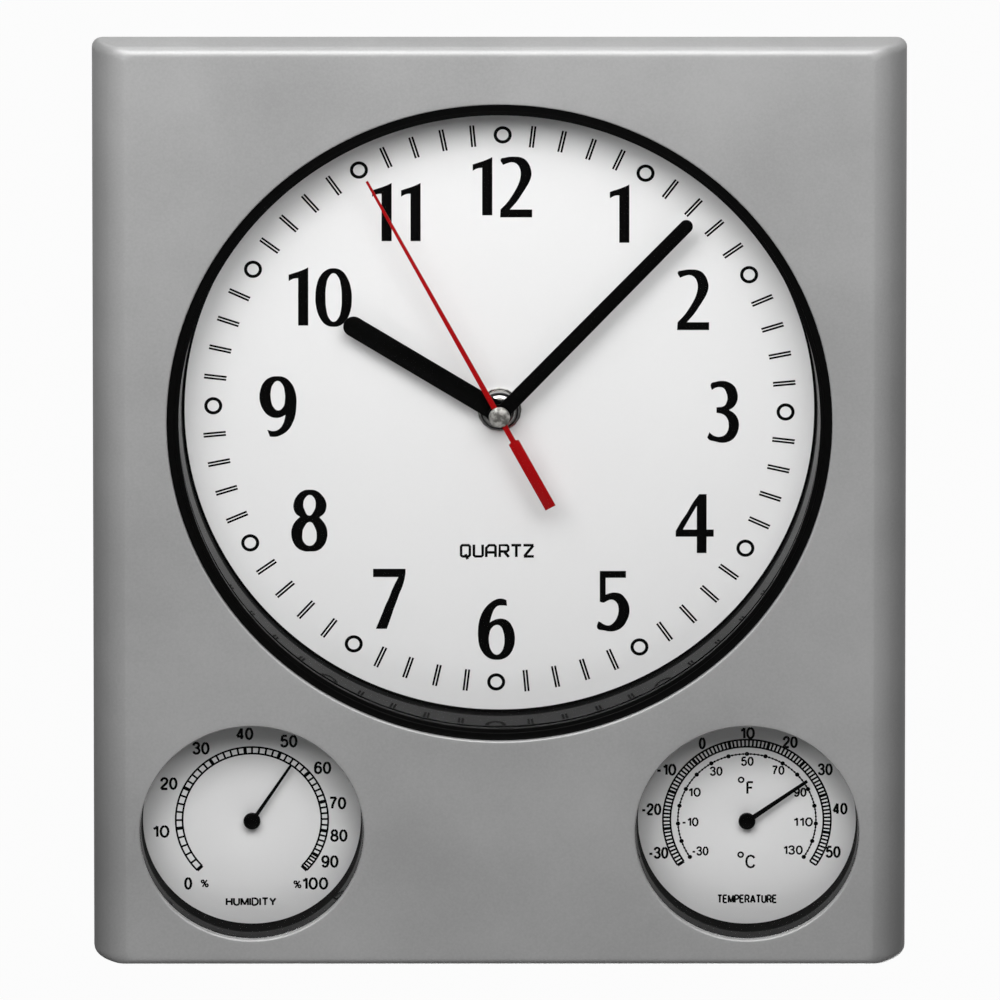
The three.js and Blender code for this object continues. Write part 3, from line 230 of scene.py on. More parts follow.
def widen(shape, verts, centre, scale_x, scale_z):
    """Scales vertices away from a centre, in width and in height."""
    bmesh.ops.scale(shape, vec=(scale_x, 1, scale_z), verts=verts,
                    space=Matrix.Translation((-centre[0], 0, -centre[1])))


def grow(shape, rim, centre, scale_x, scale_z, deeper):
    """Extrudes an open rim, and scales and moves the new one."""
    made = bmesh.ops.extrude_edge_only(shape, edges=rim)["geom"]
    verts = [g for g in made if isinstance(g, bmesh.types.BMVert)]
    widen(shape, verts, centre, scale_x, scale_z)
    bmesh.ops.translate(shape, vec=(0, deeper, 0), verts=verts)
    return [g for g in made if isinstance(g, bmesh.types.BMEdge) and g.is_boundary]


def grow_through(shape, rim, centre, sizes):
    """Grows a rim through rings, each with its two half sizes and its depth."""
    for (x0, z0, d0), (x1, z1, d1) in zip(sizes, sizes[1:]):
        rim = grow(shape, rim, centre, x1 / x0, z1 / z0, d1 - d0)
    return rim


def turned(profile, sides=192, edge=0.0):
    """Spins a closed outline of radius and depth. Its corners are rounded first."""
    shape = bmesh.new()
    ends = [shape.verts.new((radius, depth, 0)) for radius, depth in profile]
    shape.faces.new(ends)
    if edge:
        round_off(shape, [v for v in ends if v.co.x > 0], edge, 3, "VERTICES")
    bmesh.ops.delete(shape, geom=shape.faces[:], context="FACES_ONLY")
    inner = [e for e in shape.edges if max(v.co.x for v in e.verts) < 1e-6]
    bmesh.ops.delete(shape, geom=inner, context="EDGES")
    bmesh.ops.spin(shape, geom=shape.verts[:] + shape.edges[:], cent=(0, 0, 0), axis=(0, 1, 0),
                   angle=2 * math.pi, steps=sides, use_merge=True)
    bmesh.ops.remove_doubles(shape, verts=shape.verts, dist=0.0001)
    bmesh.ops.recalc_face_normals(shape, faces=shape.faces)
    return shape


def join(shape, part, x=0, depth=0, z=0):
    """Adds another shape, moved to a place."""
    shift(part, (x, depth, z))
    carrier = bpy.data.meshes.new("carrier")
    part.to_mesh(carrier)
    part.free()
    shape.from_mesh(carrier)
    bpy.data.meshes.remove(carrier)


def sheet_pair(shape, thickness):
    """A copy of the front sheet, turned to face the other way, that lies behind it."""
    copy = bmesh.ops.duplicate(shape, geom=shape.verts[:] + shape.edges[:] + shape.faces[:])["geom"]
    bmesh.ops.translate(shape, vec=(0, thickness, 0),
                        verts=[g for g in copy if isinstance(g, bmesh.types.BMVert)])


def silver_paint(here):
    """Metal flakes in a satin lacquer, in the clouds of a sprayed coat, dulled by dust on top."""
    clouds = here.noise(0.05, 3)
    flakes = here.noise(0.0007, 1)
    tone = clouds * 0.7 + flakes * 0.3
    wavy = here.noise(0.012, 2)
    worn = here.noise(0.004, 4).between(0.62, 0.75) * 0.06
    top = case_high.z
    clean = 1 - here.along(2).between(top - 0.0008, top - 0.0001) * 0.9
    return here.surface(tone.between(0.2, 0.8).mix(grey(0.35), grey(0.445)),
                        flakes * 0.06 + clouds * 0.08 + 0.85 - clean * 0.4 + worn,
                        metallic=clean * 0.35, coat_weight=clean * 0.1, coat_roughness=0.2,
                        normal=here.bump(wavy * 0.85 + flakes * 0.15, 0.00003, 0.4))


edge_turns = [math.radians(15 * i) for i in range(7)]
roll_turns = [math.radians(7.5 * i) for i in range(1, 13)]
lip_turns = [math.radians(18 * i) for i in range(6)]
ring_depths = [edge_radius * (1 - math.cos(a)) for a in edge_turns]
ring_depths += [d for d in (shell_depth * (1 - math.cos(a)) for a in roll_turns) if d > edge_radius]
roll_crease = math.radians(14)


def shell_ring(depth, inset=0):
    """Half sizes of the shell at a depth. The sides roll back from a faint crease in the panel."""
    turned_to = math.acos(math.cos(roll_crease) * (1 - depth / shell_depth))
    roll = (math.sin(turned_to) - math.sin(roll_crease)) / (1 - math.sin(roll_crease))
    edge = math.sqrt(max(0, 1 - (1 - min(depth / edge_radius, 1)) ** 2))
    return (case_half_width - side_roll * (1 - roll) - inset,
            case_half_height - edge_radius * (1 - edge) - inset, depth)


shell = bmesh.new()
panel_ring = shell_ring(0)
rounded_loop(shell, 0, 0, 0, panel_ring[0] * 2, panel_ring[1] * 2, corner_radius, 6)
for x, z, radius, sides in openings:
    circle_loop(shell, x, 0, z, radius + opening_lip, sides)
bmesh.ops.inset_region(shell, faces=fill_outlines(shell), use_boundary=True, use_even_offset=True,
                       thickness=land)
sheet_pair(shell, panel_thickness)
for x, z, radius, sides in openings:
    wide = radius + opening_lip
    behind = {v for e in rim_round(shell, x, z, wide, panel_thickness) for v in e.verts}
    widen(shell, list(behind), (x, z), radius / wide, radius / wide)
    lip_rings = [(radius + opening_lip * (1 - math.sin(a)), opening_lip * (1 - math.cos(a)))
                 for a in lip_turns] + [(radius, panel_thickness)]
    grow_through(shell, rim_round(shell, x, z, wide, 0), (x, z), [(r, r, d) for r, d in lip_rings])
outline = [e for e in shell.edges if e.is_boundary and all(v.co.y < 0.001 for v in e.verts)]
inner_rings = [shell_ring(d, shell_wall) for d in (shell_depth, 9, 6, 4)]
grow_through(shell, outline, (0, 0), [shell_ring(d) for d in ring_depths] + inner_rings
             + [panel_ring[:2] + (panel_thickness,)])
bmesh.ops.remove_doubles(shell, verts=shell.verts, dist=0.002)
bmesh.ops.recalc_face_normals(shell, faces=shell.faces)
for kind, boss_end in (("dial", print_depth), ("back", shell_depth)):
    for x, z in screw_places[kind]:
        boss = turned([(boss_bore, panel_thickness), (boss_radius, panel_thickness),
                       (boss_radius, boss_end), (boss_bore, boss_end)], 24, 0.15)
        join(shell, boss, x, 0, z)
silver = finish("silver_paint", silver_paint)
add_piece(shell, "silver_front_case", case_middle, silver, "case", ["front_case"])

# Bezel ring and spacer: polished black mouldings. The bezel shows a narrow step in the opening and
# holds the glass in a rim behind the panel; the spacer is the deep wall between glass and dial.
dial_middle = case_middle + Vector((0, 0, dial_rise / 1000))
bezel_profile = [(98.6, 1.3), (99.9, 1.3), (99.9, 1.0), (102.1, 1.0), (102.1, 2.2), (108, 2.2),
                 (108, 4.8), (106.7, 4.8), (106.7, 3.0), (98.6, 3.0)]
spacer_profile = [(98.6, 4.8), (102.5, 4.8), (102.5, 16), (96.8, 16), (96.8, 15.2), (97.5, 15.2)]


def polished_black(here):
    """Black plastic with the slight ripple of a moulding: polished, but matt towards the dial."""
    dust = here.noise(0.0006, 1).between(0.7, 0.8)
    ripple = here.noise(0.02, 2)
    polish = here.shifted(dial_middle).along(1).between(0.0128, 0.0118)
    return here.surface(dust.mix(grey(0.0015), grey(0.005)), ripple * 0.1 + dust * 0.1 + 0.45,
                        specular_ior_level=0.05, coat_weight=polish * 0.75, coat_roughness=0.09,
                        normal=here.bump(ripple, 0.0001, 0.3))


def satin_black(here):
    """The same plastic from a finer mould: a low even sheen with faint rubbed streaks."""
    rubbed = here.shifted(scale=(1, 6, 1)).noise(0.003, 3)
    skin = here.noise(0.0005, 2)
    return here.surface((rubbed * 0.5 + skin * 0.5).mix(grey(0.0004), grey(0.002)),
                        rubbed * 0.12 + skin * 0.06 + 0.3, specular_ior_level=0.1,
                        coat_weight=0.06, coat_roughness=0.15, normal=here.bump(skin, 0.00001, 0.4))


black_gloss = finish("polished_black", polished_black)
add_piece(turned(bezel_profile, 240, 0.14), "black_bezel_ring", dial_middle,
          finish("satin_black", satin_black), "case", ["bezel_ring"])
add_piece(turned(spacer_profile, 240, 0.18), "black_spacer_ring", dial_middle, black_gloss, "case",
          ["spacer_ring"])

# Glasses: a flat disc of clear float glass over the dial, and a moulded clear disc on each gauge.
# The glass over the dial lies in the bezel's rim, and the small ones lie in the rims of the cups.


def clear_glass(here):
    """A sheet that only reflects a little, so that the dial behind it keeps its colour."""
    fresnel = here.node("Fresnel", {}, {"IOR": 1.25})
    haze = here.noise(0.03, 3) * 0.0008
    return here.surface(grey(1), 0.03, metallic=1.0,
                        alpha=fresnel.between(0.0125, 0.7) * 0.5 + haze)


glass = finish("clear_glass", clear_glass)


def dress(node, coat):
    """Gives a CAD node its finish."""
    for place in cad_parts[node].material_slots:
        place.material = coat


dress("main_lens", glass)
gauge_middles = {"hygrometer": case_middle + Vector((-gauge_x / 1000, 0, gauge_z / 1000)),
                 "thermometer": case_middle + Vector((gauge_x / 1000, 0, gauge_z / 1000))}
for gauge, middle in gauge_middles.items():
    add_piece(turned([(0, 0.9), (34.4, 0.9), (34.4, 2.2), (0, 2.2)], 144, 0.2),
              f"clear_{gauge}_glass", middle, glass, "case", [f"{gauge}_lens"])

# Dial: a stamped plate, coated satin white, that screws to four bosses by its ears. The numerals,
# hour rings and double minute strokes are printed on it, which a screen does with a thick ink.
ink_height, print_turn = 0.03, 0.65
numeral_outlines = {
    "2": [[(-4.8, 9.2), (-3.4, 9.7), (-1.15, 10), (2.1, 9.5), (3.7, 7.9), (4.5, 5.8), (4.65, 4.35),
           (4.15, 2.3), (2.95, 0), (1.65, -2.1), (0.3, -4.2), (-1.15, -5.95), "c", (-2, -6.95),
           "c", (4.85, -6.95), "c", (4.85, -9.45), "c", (-5, -9.45), "c", (-4.85, -6.9),
           (-2.9, -4.8), (-1.45, -2.7), (-0.25, -0.65), (0.6, 1.1), (1.15, 2.9), (1.35, 4.65),
           (1.05, 6.25), (0.2, 7.6), (-1.15, 8.2), (-2.6, 7.95), "c", (-4.1, 7.35)]],
    "3": [[(-4.05, 9.1), (-2.6, 9.7), (-0.8, 10), (1.25, 9.65), (3.15, 8.3), (4, 6.4), (4.2, 4.8),
           (3.9, 3.2), (2.85, 1.55), "c", (1.5, 0.65), (3, -0.35), (4.05, -1.8), (4.55, -3.6),
           (4.45, -5.35), (3.9, -7.1), (2.7, -8.75), (0.95, -9.7), (-0.8, -9.9), (-2.9, -9.45),
           (-4.65, -8.9), "c", (-5.2, -8.15), "c", (-4.5, -6.5), (-3.75, -7.25), (-2.6, -7.85),
           (-1.1, -7.95), (0.35, -7.25), (1.25, -5.65), (1.4, -3.9), (0.95, -2.1), (-0.25, -0.8),
           "c", (-2.35, -0.25), "c", (-2.35, 1.5), (0.05, 2), (0.8, 3.3), (1, 4.8), (0.65, 6.25),
           (-0.1, 7.6), (-1.4, 8), (-2.75, 7.75), "c", (-3.8, 7.05)]],
    "4": [["c", (1.25, 9.65), "c", (3.55, 9.65), "c", (3.55, -1.75), "c", (5.75, -1.75), "c",
           (5.75, -4.05), "c", (3.55, -4.05), "c", (3.55, -9.3), "c", (0.55, -9.3), "c",
           (0.55, -4.05), "c", (-5.95, -4.05), "c", (-5.95, -2.2), (-4.3, 0.8), (-2.55, 3.5),
           (-0.8, 6.7)],
          ["c", (0.55, 5.9), "c", (0.55, -1.75), "c", (-3.75, -1.75), (-2.1, 1.25), (-0.8, 3.6)]],
    "5": [["c", (-4.1, 9.7), "c", (3.95, 9.7), "c", (3.95, 7.5), "c", (-2.3, 7.5), "c",
           (-2.3, 2.05), (-0.85, 2.6), (0.6, 2.75), (2.4, 2.3), (3.85, 0.8), (4.75, -0.95),
           (5.05, -2.7), (4.9, -4.5), (4.15, -6.5), (2.95, -8.3), (1.2, -9.45), (-0.85, -9.8),
           (-2.9, -9.45), (-4.7, -9), "c", (-5, -8), "c", (-4.5, -6.5), (-3.8, -6.85),
           (-2.75, -7.55), (-1.15, -7.85), (0, -7.1), (1.05, -5.65), (1.65, -3.6), (1.65, -2.1),
           (1.2, -0.65), (0.2, 0.3), (-0.85, 0.45), (-1.95, 0), (-2.9, -0.5), "c",
           (-4.1, -0.2)]],
    "6": [["c", (3.25, 9.35), (1.8, 9.8), (0, 9.5), (-2, 8.2), (-3.75, 6.1), (-4.8, 3.75),
           (-5.3, 1.7), (-5.5, -0.65), (-5.45, -3), (-5.1, -5.35), (-4.35, -7.1), (-3.2, -8.6),
           (-1.7, -9.6), (0.35, -9.95), (2.4, -9.6), (4.2, -8.3), (5.35, -6.25), (5.85, -3.9),
           (5.75, -1.5), (5.05, 0.8), (3.9, 2.45), (2.1, 3.3), (0.35, 3.2), (-0.8, 2.75), "c",
           (-1.85, 2.15), (-1.1, 4.95), (-0.25, 6.7), (0.65, 7.45), (2.1, 7.6), "c",
           (3.45, 7.5)],
          [(0.25, 1.3), (-1.35, 0.2), (-2.05, -1.9), (-2.1, -4.2), (-1.55, -6.7), (-0.4, -8.1),
           (0.5, -8.3), (1.6, -7.5), (2.45, -5.6), (2.65, -3.4), (2.3, -0.9), (1.4, 0.9)]],
    "7": [["c", (-4.9, 10), "c", (5.1, 10), "c", (5.1, 8.5), (4.8, 6.7), (4.05, 4.05), (3.2, 2),
           (2.3, -0.65), (1.55, -2.7), (0.7, -5.35), (-0.2, -8), "c", (-0.65, -9.35), "c",
           (-4.05, -9.35), (-3.15, -7.1), (-2.1, -4.45), (-1.1, -1.8), (-0.05, 0.55),
           (0.95, 3.2), (1.85, 5.25), "c", (2.9, 7.35), "c", (-4.9, 7.35)]],
    "8": [[(0, 9.8), (2.2, 9.4), (4, 7.8), (5.05, 5.8), (5.15, 4), (4.5, 2.2), "c", (3, 0.9),
           (4, -0.25), (4.95, -1.75), (5.45, -3.7), (5.3, -6), (4.3, -8.3), (2.5, -9.8),
           (0.2, -10.1), (-1.8, -10), (-3.75, -9), (-5.25, -6.7), (-5.65, -4.4), (-5.4, -2.4),
           (-4.4, -0.4), "c", (-2.95, 1.05), (-4.1, 1.9), (-4.9, 3.5), (-4.9, 5.5), (-3.9, 7.8),
           (-2.1, 9.4)],
          [(0, 8.1), (-1.3, 7.2), (-1.95, 5.2), (-1.6, 3.4), (-0.1, 1.45), (1.3, 2.9),
           (1.85, 4.8), (1.4, 7.1)],
          [(0.1, -0.6), (-1.7, -2.3), (-2.25, -4.5), (-1.8, -7.1), (0, -8.3), (1.6, -7.3),
           (2.15, -4.9), (1.6, -2.4)]],
    "9": [[(-0.4, 9.5), (1.9, 9.1), (3.9, 7.3), (5.05, 4.85), (5.5, 2.2), (5.45, -0.1),
           (5.2, -2.75), (4.4, -5.35), (2.9, -7.85), (0.6, -9.5), (-1.05, -10), "c",
           (-2.7, -9.9), "c", (-3.5, -7.7), (-1.7, -8.15), (-0.05, -7.65), (1.1, -6.35),
           (1.75, -4.7), "c", (2.1, -2.9), (0.6, -3.7), (-1.05, -3.9), (-3.05, -3.2),
           (-4.7, -1.4), (-5.65, 0.9), (-5.9, 2.85), (-5.6, 5.15), (-4.5, 7.65), (-2.7, 9.1)],
          [(-0.3, 8), (-1.7, 6.9), (-2.4, 4.6), (-2.3, 1.7), (-1.6, -0.4), (-0.1, -1.5),
           (1.4, -0.4), (1.95, 1.8), (1.85, 4.6), (1.1, 7)]],
    "1": [["c", (3.1, 9.7), "c", (3.1, -9), "c", (0, -9), "c", (0, 6.2), (-0.4, 6.2),
           (-1.55, 6), "c", (-2.9, 5.25), "c", (-2.9, 7.3), (-1.9, 7.65), (0.45, 8.45),
           (2.4, 9.3)]],
    "0": [[(0, 9.4), (2.4, 8.7), (4.3, 6.2), (5.4, 2.6), (5.6, -0.6), (5.2, -4.2), (3.9, -7.3),
           (2, -9), (0, -9.4), (-2.2, -8.9), (-4.2, -6.6), (-5.4, -2.8), (-5.6, 0.4),
           (-5.2, 4), (-4, 7.1), (-2.1, 8.9)],
          [(0, 7.8), (-1.4, 6.7), (-2.3, 3.7), (-2.5, 0), (-2.2, -4), (-1.3, -6.8), (0, -7.8),
           (1.4, -6.7), (2.3, -3.7), (2.5, 0), (2.2, 4), (1.3, 6.8)]],
}
digit_places = {"12": [("1", -6.1, 0), ("2", 4.4, -0.2)], "10": [("1", -6.65, 0), ("0", 4.25, 0)],
                "11": [("1", -4.4, 0), ("1", 4.5, 0)]}
numeral_places = {"12": (0.8, 71.2), "1": (36.8, 62.4), "2": (59.6, 34.8), "3": (69.1, -1.0),
                  "4": (60.2, -37.1), "5": (35.0, -61.9), "6": (-1.1, -70.9),
                  "7": (-34.0, -61.5), "8": (-58.4, -35.8), "9": (-67.9, 1.0),
                  "10": (-55.2, 35.8), "11": (-31.8, 62.9)}


def flat_solid(data):
    """A flat curve as a solid that faces the front, as thick as the ink."""
    carrier = into_scene("carrier", data)
    graph = bpy.context.evaluated_depsgraph_get()
    mesh = bpy.data.meshes.new_from_object(carrier.evaluated_get(graph))
    shape = bmesh.new()
    shape.from_mesh(mesh)
    bpy.data.objects.remove(carrier)
    bpy.data.meshes.remove(mesh)
    turn_about(shape, "X", 90)
    depths = [v.co.y for v in shape.verts]
    thickness = max(depths) - min(depths)
    bmesh.ops.scale(shape, vec=(1, ink_height / thickness, 1), verts=shape.verts)
    bmesh.ops.remove_doubles(shape, verts=shape.verts, dist=0.0005)
    bmesh.ops.recalc_face_normals(shape, faces=shape.faces)
    return shape


def glyph(outlines):
    """A printed character from outlines, whose points after a "c" are corners."""
    data = bpy.data.curves.new("glyph", "CURVE")
    data.dimensions, data.fill_mode = "2D", "BOTH"
    data.extrude, data.resolution_u = ink_height / 2, 4
    for outline in outlines:
        points = [(p, i > 0 and outline[i - 1] == "c") for i, p in enumerate(outline) if p != "c"]
        spline = data.splines.new("BEZIER")
        spline.bezier_points.add(len(points) - 1)
        spline.use_cyclic_u = True
        for knot, ((x, z), corner) in zip(spline.bezier_points, points):
            knot.co = (x, z, 0)
            knot.handle_left_type = knot.handle_right_type = "VECTOR" if corner else "AUTO"
    return flat_solid(data)


def stroked(lines, half_width):
    """Letters drawn with a pen of one width."""
    data = bpy.data.curves.new("strokes", "CURVE")
    data.dimensions, data.bevel_resolution = "3D", 2
    data.bevel_depth, data.use_fill_caps = half_width, True
    for line in lines:
        spline = data.splines.new("POLY")
        spline.points.add(len(line) - 1)
        for knot, (x, z) in zip(spline.points, line):
            knot.co = (x, z, 0, 1)
    return flat_solid(data)


def loop(x, z, wide, high, first=0):
    """A closed oval for the pen, by its middle and its half sizes."""
    turns = [math.radians(first + 30 * i) for i in range(13)]
    return [(x + wide * math.sin(a), z + high * math.cos(a)) for a in turns]


pen_stem = [(0, 0), (0, 1)]
pen_bowl = [(0, 1), (0.34, 1), (0.5, 0.9), (0.55, 0.73), (0.5, 0.56), (0.34, 0.46), (0, 0.46)]
pen_letters = {
    "-": [[(0, 0.4), (0.32, 0.4)]],
    "%": [[(0.12, 0), (0.6, 1)], loop(0.14, 0.78, 0.14, 0.2), loop(0.58, 0.22, 0.14, 0.2)],
    "0": [loop(0.27, 0.5, 0.27, 0.5)],
    "1": [[(0.02, 0.74), (0.2, 0.84), (0.28, 1)], [(0.28, 1), (0.28, 0)]],
    "2": [[(0, 0.7), (0.05, 0.87), (0.16, 0.98), (0.3, 1), (0.44, 0.94), (0.51, 0.82), (0.5, 0.67),
           (0.4, 0.5), (0.18, 0.28), (0.04, 0.12), (0, 0)], [(0, 0), (0.53, 0)]],
    "3": [[(0, 0.76), (0.06, 0.92), (0.2, 1), (0.34, 0.99), (0.46, 0.9), (0.49, 0.76), (0.42, 0.61),
           (0.2, 0.54), (0.45, 0.47), (0.53, 0.3), (0.5, 0.14), (0.38, 0.02), (0.22, 0),
           (0.08, 0.06), (0, 0.22)]],
    "4": [[(0.56, 0.25), (0, 0.25)], [(0, 0.25), (0.4, 1)], [(0.4, 1), (0.4, 0)]],
    "5": [[(0.49, 1), (0.1, 1)], [(0.1, 1), (0.03, 0.5)],
          [(0.03, 0.5), (0.15, 0.6), (0.31, 0.63), (0.46, 0.54), (0.53, 0.35), (0.5, 0.16),
           (0.38, 0.03), (0.2, 0), (0.06, 0.07), (0, 0.22)]],
    "6": [[(0.5, 0.8), (0.42, 0.95), (0.28, 1), (0.13, 0.93), (0.03, 0.7), (0, 0.42)],
          loop(0.26, 0.31, 0.26, 0.31)],
    "7": [[(0, 1), (0.54, 1)], [(0.54, 1), (0.37, 0.68), (0.24, 0.36), (0.18, 0)]],
    "8": [loop(0.27, 0.76, 0.22, 0.24), loop(0.27, 0.27, 0.27, 0.27)],
    "9": [[(0.03, 0.2), (0.1, 0.05), (0.24, 0), (0.4, 0.07), (0.5, 0.3), (0.53, 0.58)],
          loop(0.27, 0.69, 0.26, 0.31)],
    "A": [[(0, 0), (0.32, 1)], [(0.32, 1), (0.64, 0)], [(0.1, 0.3), (0.54, 0.3)]],
    "C": [[(0.62, 0.78), (0.52, 0.94), (0.34, 1), (0.16, 0.94), (0.04, 0.76), (0, 0.5),
           (0.04, 0.24), (0.16, 0.06), (0.34, 0), (0.52, 0.06), (0.63, 0.24)]],
    "D": [[(0, 0), (0, 1), (0.28, 1), (0.48, 0.9), (0.6, 0.66), (0.6, 0.34), (0.48, 0.1),
           (0.28, 0), (0, 0)]],
    "E": [[(0.52, 1), (0, 1)], [(0, 1), (0, 0)], [(0, 0), (0.54, 0)], [(0, 0.52), (0.46, 0.52)]],
    "F": [[(0.52, 1), (0, 1)], [(0, 1), (0, 0)], [(0, 0.52), (0.44, 0.52)]],
    "H": [pen_stem, [(0.56, 0), (0.56, 1)], [(0, 0.52), (0.56, 0.52)]],
    "I": [pen_stem],
    "M": [pen_stem, [(0, 1), (0.36, 0.06)], [(0.36, 0.06), (0.72, 1)], [(0.72, 1), (0.72, 0)]],
    "P": [pen_stem, pen_bowl],
    "R": [pen_stem, pen_bowl, [(0.34, 0.46), (0.58, 0)]],
    "T": [[(0, 1), (0.6, 1)], [(0.3, 1), (0.3, 0)]],
    "U": [[(0, 1), (0, 0.26), (0.1, 0.07), (0.28, 0), (0.46, 0.07), (0.56, 0.26), (0.56, 1)]],
    "Y": [[(0, 1), (0.3, 0.46)], [(0.6, 1), (0.3, 0.46)], [(0.3, 0.46), (0.3, 0)]],
}
letter_gap = 0.24


def pen_word(shape, text, middle_x, middle_z, width, height, half_width):
    """Prints a word or number in plain upright letters, drawn with the pen."""
    lines, reach = [], 0
    for letter in text:
        strokes = pen_letters[letter]
        lines += [[(reach + x, z) for x, z in line] for line in strokes]
        reach += max(x for line in strokes for x, z in line) + letter_gap
    wide = (width - 2 * half_width) / (reach - letter_gap)
    tall = height - 2 * half_width
    word = stroked([[(x * wide - width / 2 + half_width, z * tall - tall / 2) for x, z in line]
                    for line in lines], half_width)
    join(shape, word, middle_x, ink_height / 2, middle_z)


def bent_bar(shape, inner, outer, start, sweep, steps):
    """A printed line round the middle. Angles count clockwise from the top."""
    a = math.radians(start)
    section = ((inner, 0), (outer, 0), (outer, ink_height), (inner, ink_height))
    ends = [shape.verts.new((radius * math.sin(a), depth, radius * math.cos(a)))
            for radius, depth in section]
    end = shape.faces.new(ends)
    closed = sweep == 360
    bmesh.ops.spin(shape, geom=ends + end.edges[:] + [end] * (not closed), cent=(0, 0, 0),
                   axis=(0, 1, 0), angle=math.radians(sweep), steps=steps, use_merge=closed)
    if closed:
        bmesh.ops.delete(shape, geom=[end], context="FACES_ONLY")


def bar_mark(shape, angle, radius, length, width, aside=0.0):
    """A straight printed mark that points to the middle."""
    place = (Matrix.Rotation(math.radians(angle), 4, "Y")
             @ Matrix.Translation((aside, ink_height / 2, radius))
             @ Matrix.Diagonal((width, ink_height, length, 1)))
    bmesh.ops.create_cube(shape, size=1, matrix=place)


def printed_ink(here):
    """Dense black screen ink, a little uneven in its sheen."""
    cover = here.noise(0.0012, 2)
    return here.surface(cover.mix(grey(0.0005), grey(0.0015)), cover * 0.12 + 0.42,
                        specular_ior_level=0.08)


def satin_white(here):
    """A white coat with a very fine orange peel and the faintest drift of tone."""
    drift = here.noise(0.05, 2)
    peel = here.noise(0.0007, 2)
    return here.surface((drift * 0.7 + peel * 0.3).mix(grey(0.85), grey(0.885)),
                        peel * 0.08 + 0.5, specular_ior_level=0.3,
                        normal=here.bump(peel, 0.000008, 0.4))


ink = finish("printed_ink", printed_ink)
dial_white = finish("satin_white", satin_white)
dress("dial_plate", dial_white)
ring_reach, ring_inner, ring_outer = 88, 1.78, 2.78
stroke_reach, stroke_length, stroke_width, stroke_aside = 87.95, 6.9, 0.62, 0.48
scale_print = bmesh.new()
for minute in range(60):
    if minute % 5:
        for side in (-1, 1):
            bar_mark(scale_print, minute * 6, stroke_reach, stroke_length, stroke_width,
                     side * stroke_aside)
    else:
        a = math.radians(minute * 6)
        hour_ring = bmesh.new()
        bent_bar(hour_ring, ring_inner, ring_outer, 0, 360, 40)
        join(scale_print, hour_ring, ring_reach * math.sin(a), 0, ring_reach * math.cos(a))
turn_about(scale_print, "Y", print_turn)
for numeral, (x, z) in numeral_places.items():
    for digit, aside, above in digit_places.get(numeral, [(numeral, 0, 0)]):
        join(scale_print, glyph(numeral_outlines[digit]), x + aside, ink_height / 2, z + above)
quartz_strokes = [
    [(0.4, 0.2), (0, 0.6), (0, 3.4), (0.4, 3.8), (2.3, 3.8), (2.7, 3.4), (2.7, 0.6), (2.3, 0.2),
     (0.3, 0.2)], [(1.35, 0.9), (2.0, -0.7)],
    [(3.95, 4), (3.95, 0.6), (4.35, 0.2), (6.25, 0.2), (6.65, 0.6), (6.65, 4)],
    [(7.75, 0), (7.75, 2.9), (8.6, 3.8), (10.2, 3.8), (10.6, 3.4), (10.6, 0)],
    [(7.75, 1.5), (10.6, 1.5)],
    [(11.9, 0), (11.9, 3.8), (14.1, 3.8), (14.5, 3.4), (14.5, 2.2), (14.1, 1.8), (11.9, 1.8)],
    [(13.2, 1.8), (14.7, 0)],
    [(15.5, 3.8), (18.5, 3.8)], [(17, 3.8), (17, 0)],
    [(19.2, 3.8), (22.3, 3.8)], [(22.2, 3.7), (19.5, 0.3)], [(19.3, 0.2), (22.4, 0.2)],
]
join(scale_print, stroked(quartz_strokes, 0.42), -11.8, ink_height / 2, -47.7)
shift(scale_print, (0, print_depth - ink_height, 0))
add_piece(scale_print, "dial_print", dial_middle, ink, "case", [])

# Nut, washers and the bushing they clamp: a turned and plated nut with a bright cone round its bore
# and a dark rim. It draws the movement, with a rubber washer in front of it, against the dial.
nut_profile = [(4.08, 12.8), (4.5, 12.72), (5.2, 13.2), (5.3, 13.5), (5.45, 13.35), (5.8, 13.4),
               (5.95, 13.6), (6.15, 14.4), (6.15, 15.1), (4.08, 15.1)]


def from_axis(here, middle):
    """How far a point is from an axis that runs back from a middle, in metres."""
    away = here.shifted(middle)
    x, z = away.along(0), away.along(2)
    return (x * x + z * z) ** 0.5


def plated_nut(here):
    """Bright nickel with lathe rings on the cone and a blackened rim."""
    reach = from_axis(here, dial_middle)
    lathe = reach.math("SINE", reach * 9000)
    rim = reach.between(0.00515, 0.0053) * reach.between(0.006, 0.0059)
    stain = here.noise(0.0015, 3)
    tint = rim.mix((0.62, 0.615, 0.60, 1), grey(0.03))
    return here.surface((stain * 0.5).mix(tint, grey(0.12)), rim * 0.1 + stain * 0.15 + 0.16,
                        metallic=1.0, normal=here.bump(lathe, 0.00002, 0.35))


def metal(here, color, roughness, grain=0.0008, stretch=(1, 1, 1)):
    """A plain metal whose grain may be drawn out in one direction."""
    drawn = here.shifted(scale=stretch).noise(grain, 3)
    cloud = here.noise(0.006, 2)
    dark = tuple(c * 0.72 for c in color[:3]) + (1,)
    return here.surface((drawn * 0.5 + cloud * 0.5).between(0.3, 0.7).mix(dark, color),
                        drawn * 0.18 + cloud * 0.1 + roughness - 0.12, metallic=1.0,
                        normal=here.bump(drawn, 0.00001, 0.4))


def moulded(here, color, roughness, grain, depth, gloss):
    """A moulded plastic or rubber with an even fine grain, whose tone drifts a little."""
    skin = here.noise(grain, 2)
    drift = here.noise(0.02, 2)
    pale = tuple(min(1, c * 1.18 + 0.002) for c in color[:3]) + (1,)
    return here.surface((skin * 0.5 + drift * 0.5).between(0.3, 0.7).mix(color, pale),
                        skin * 0.12 + drift * 0.08 + roughness - 0.1,
                        specular_ior_level=gloss, normal=here.bump(skin, depth, 0.6))


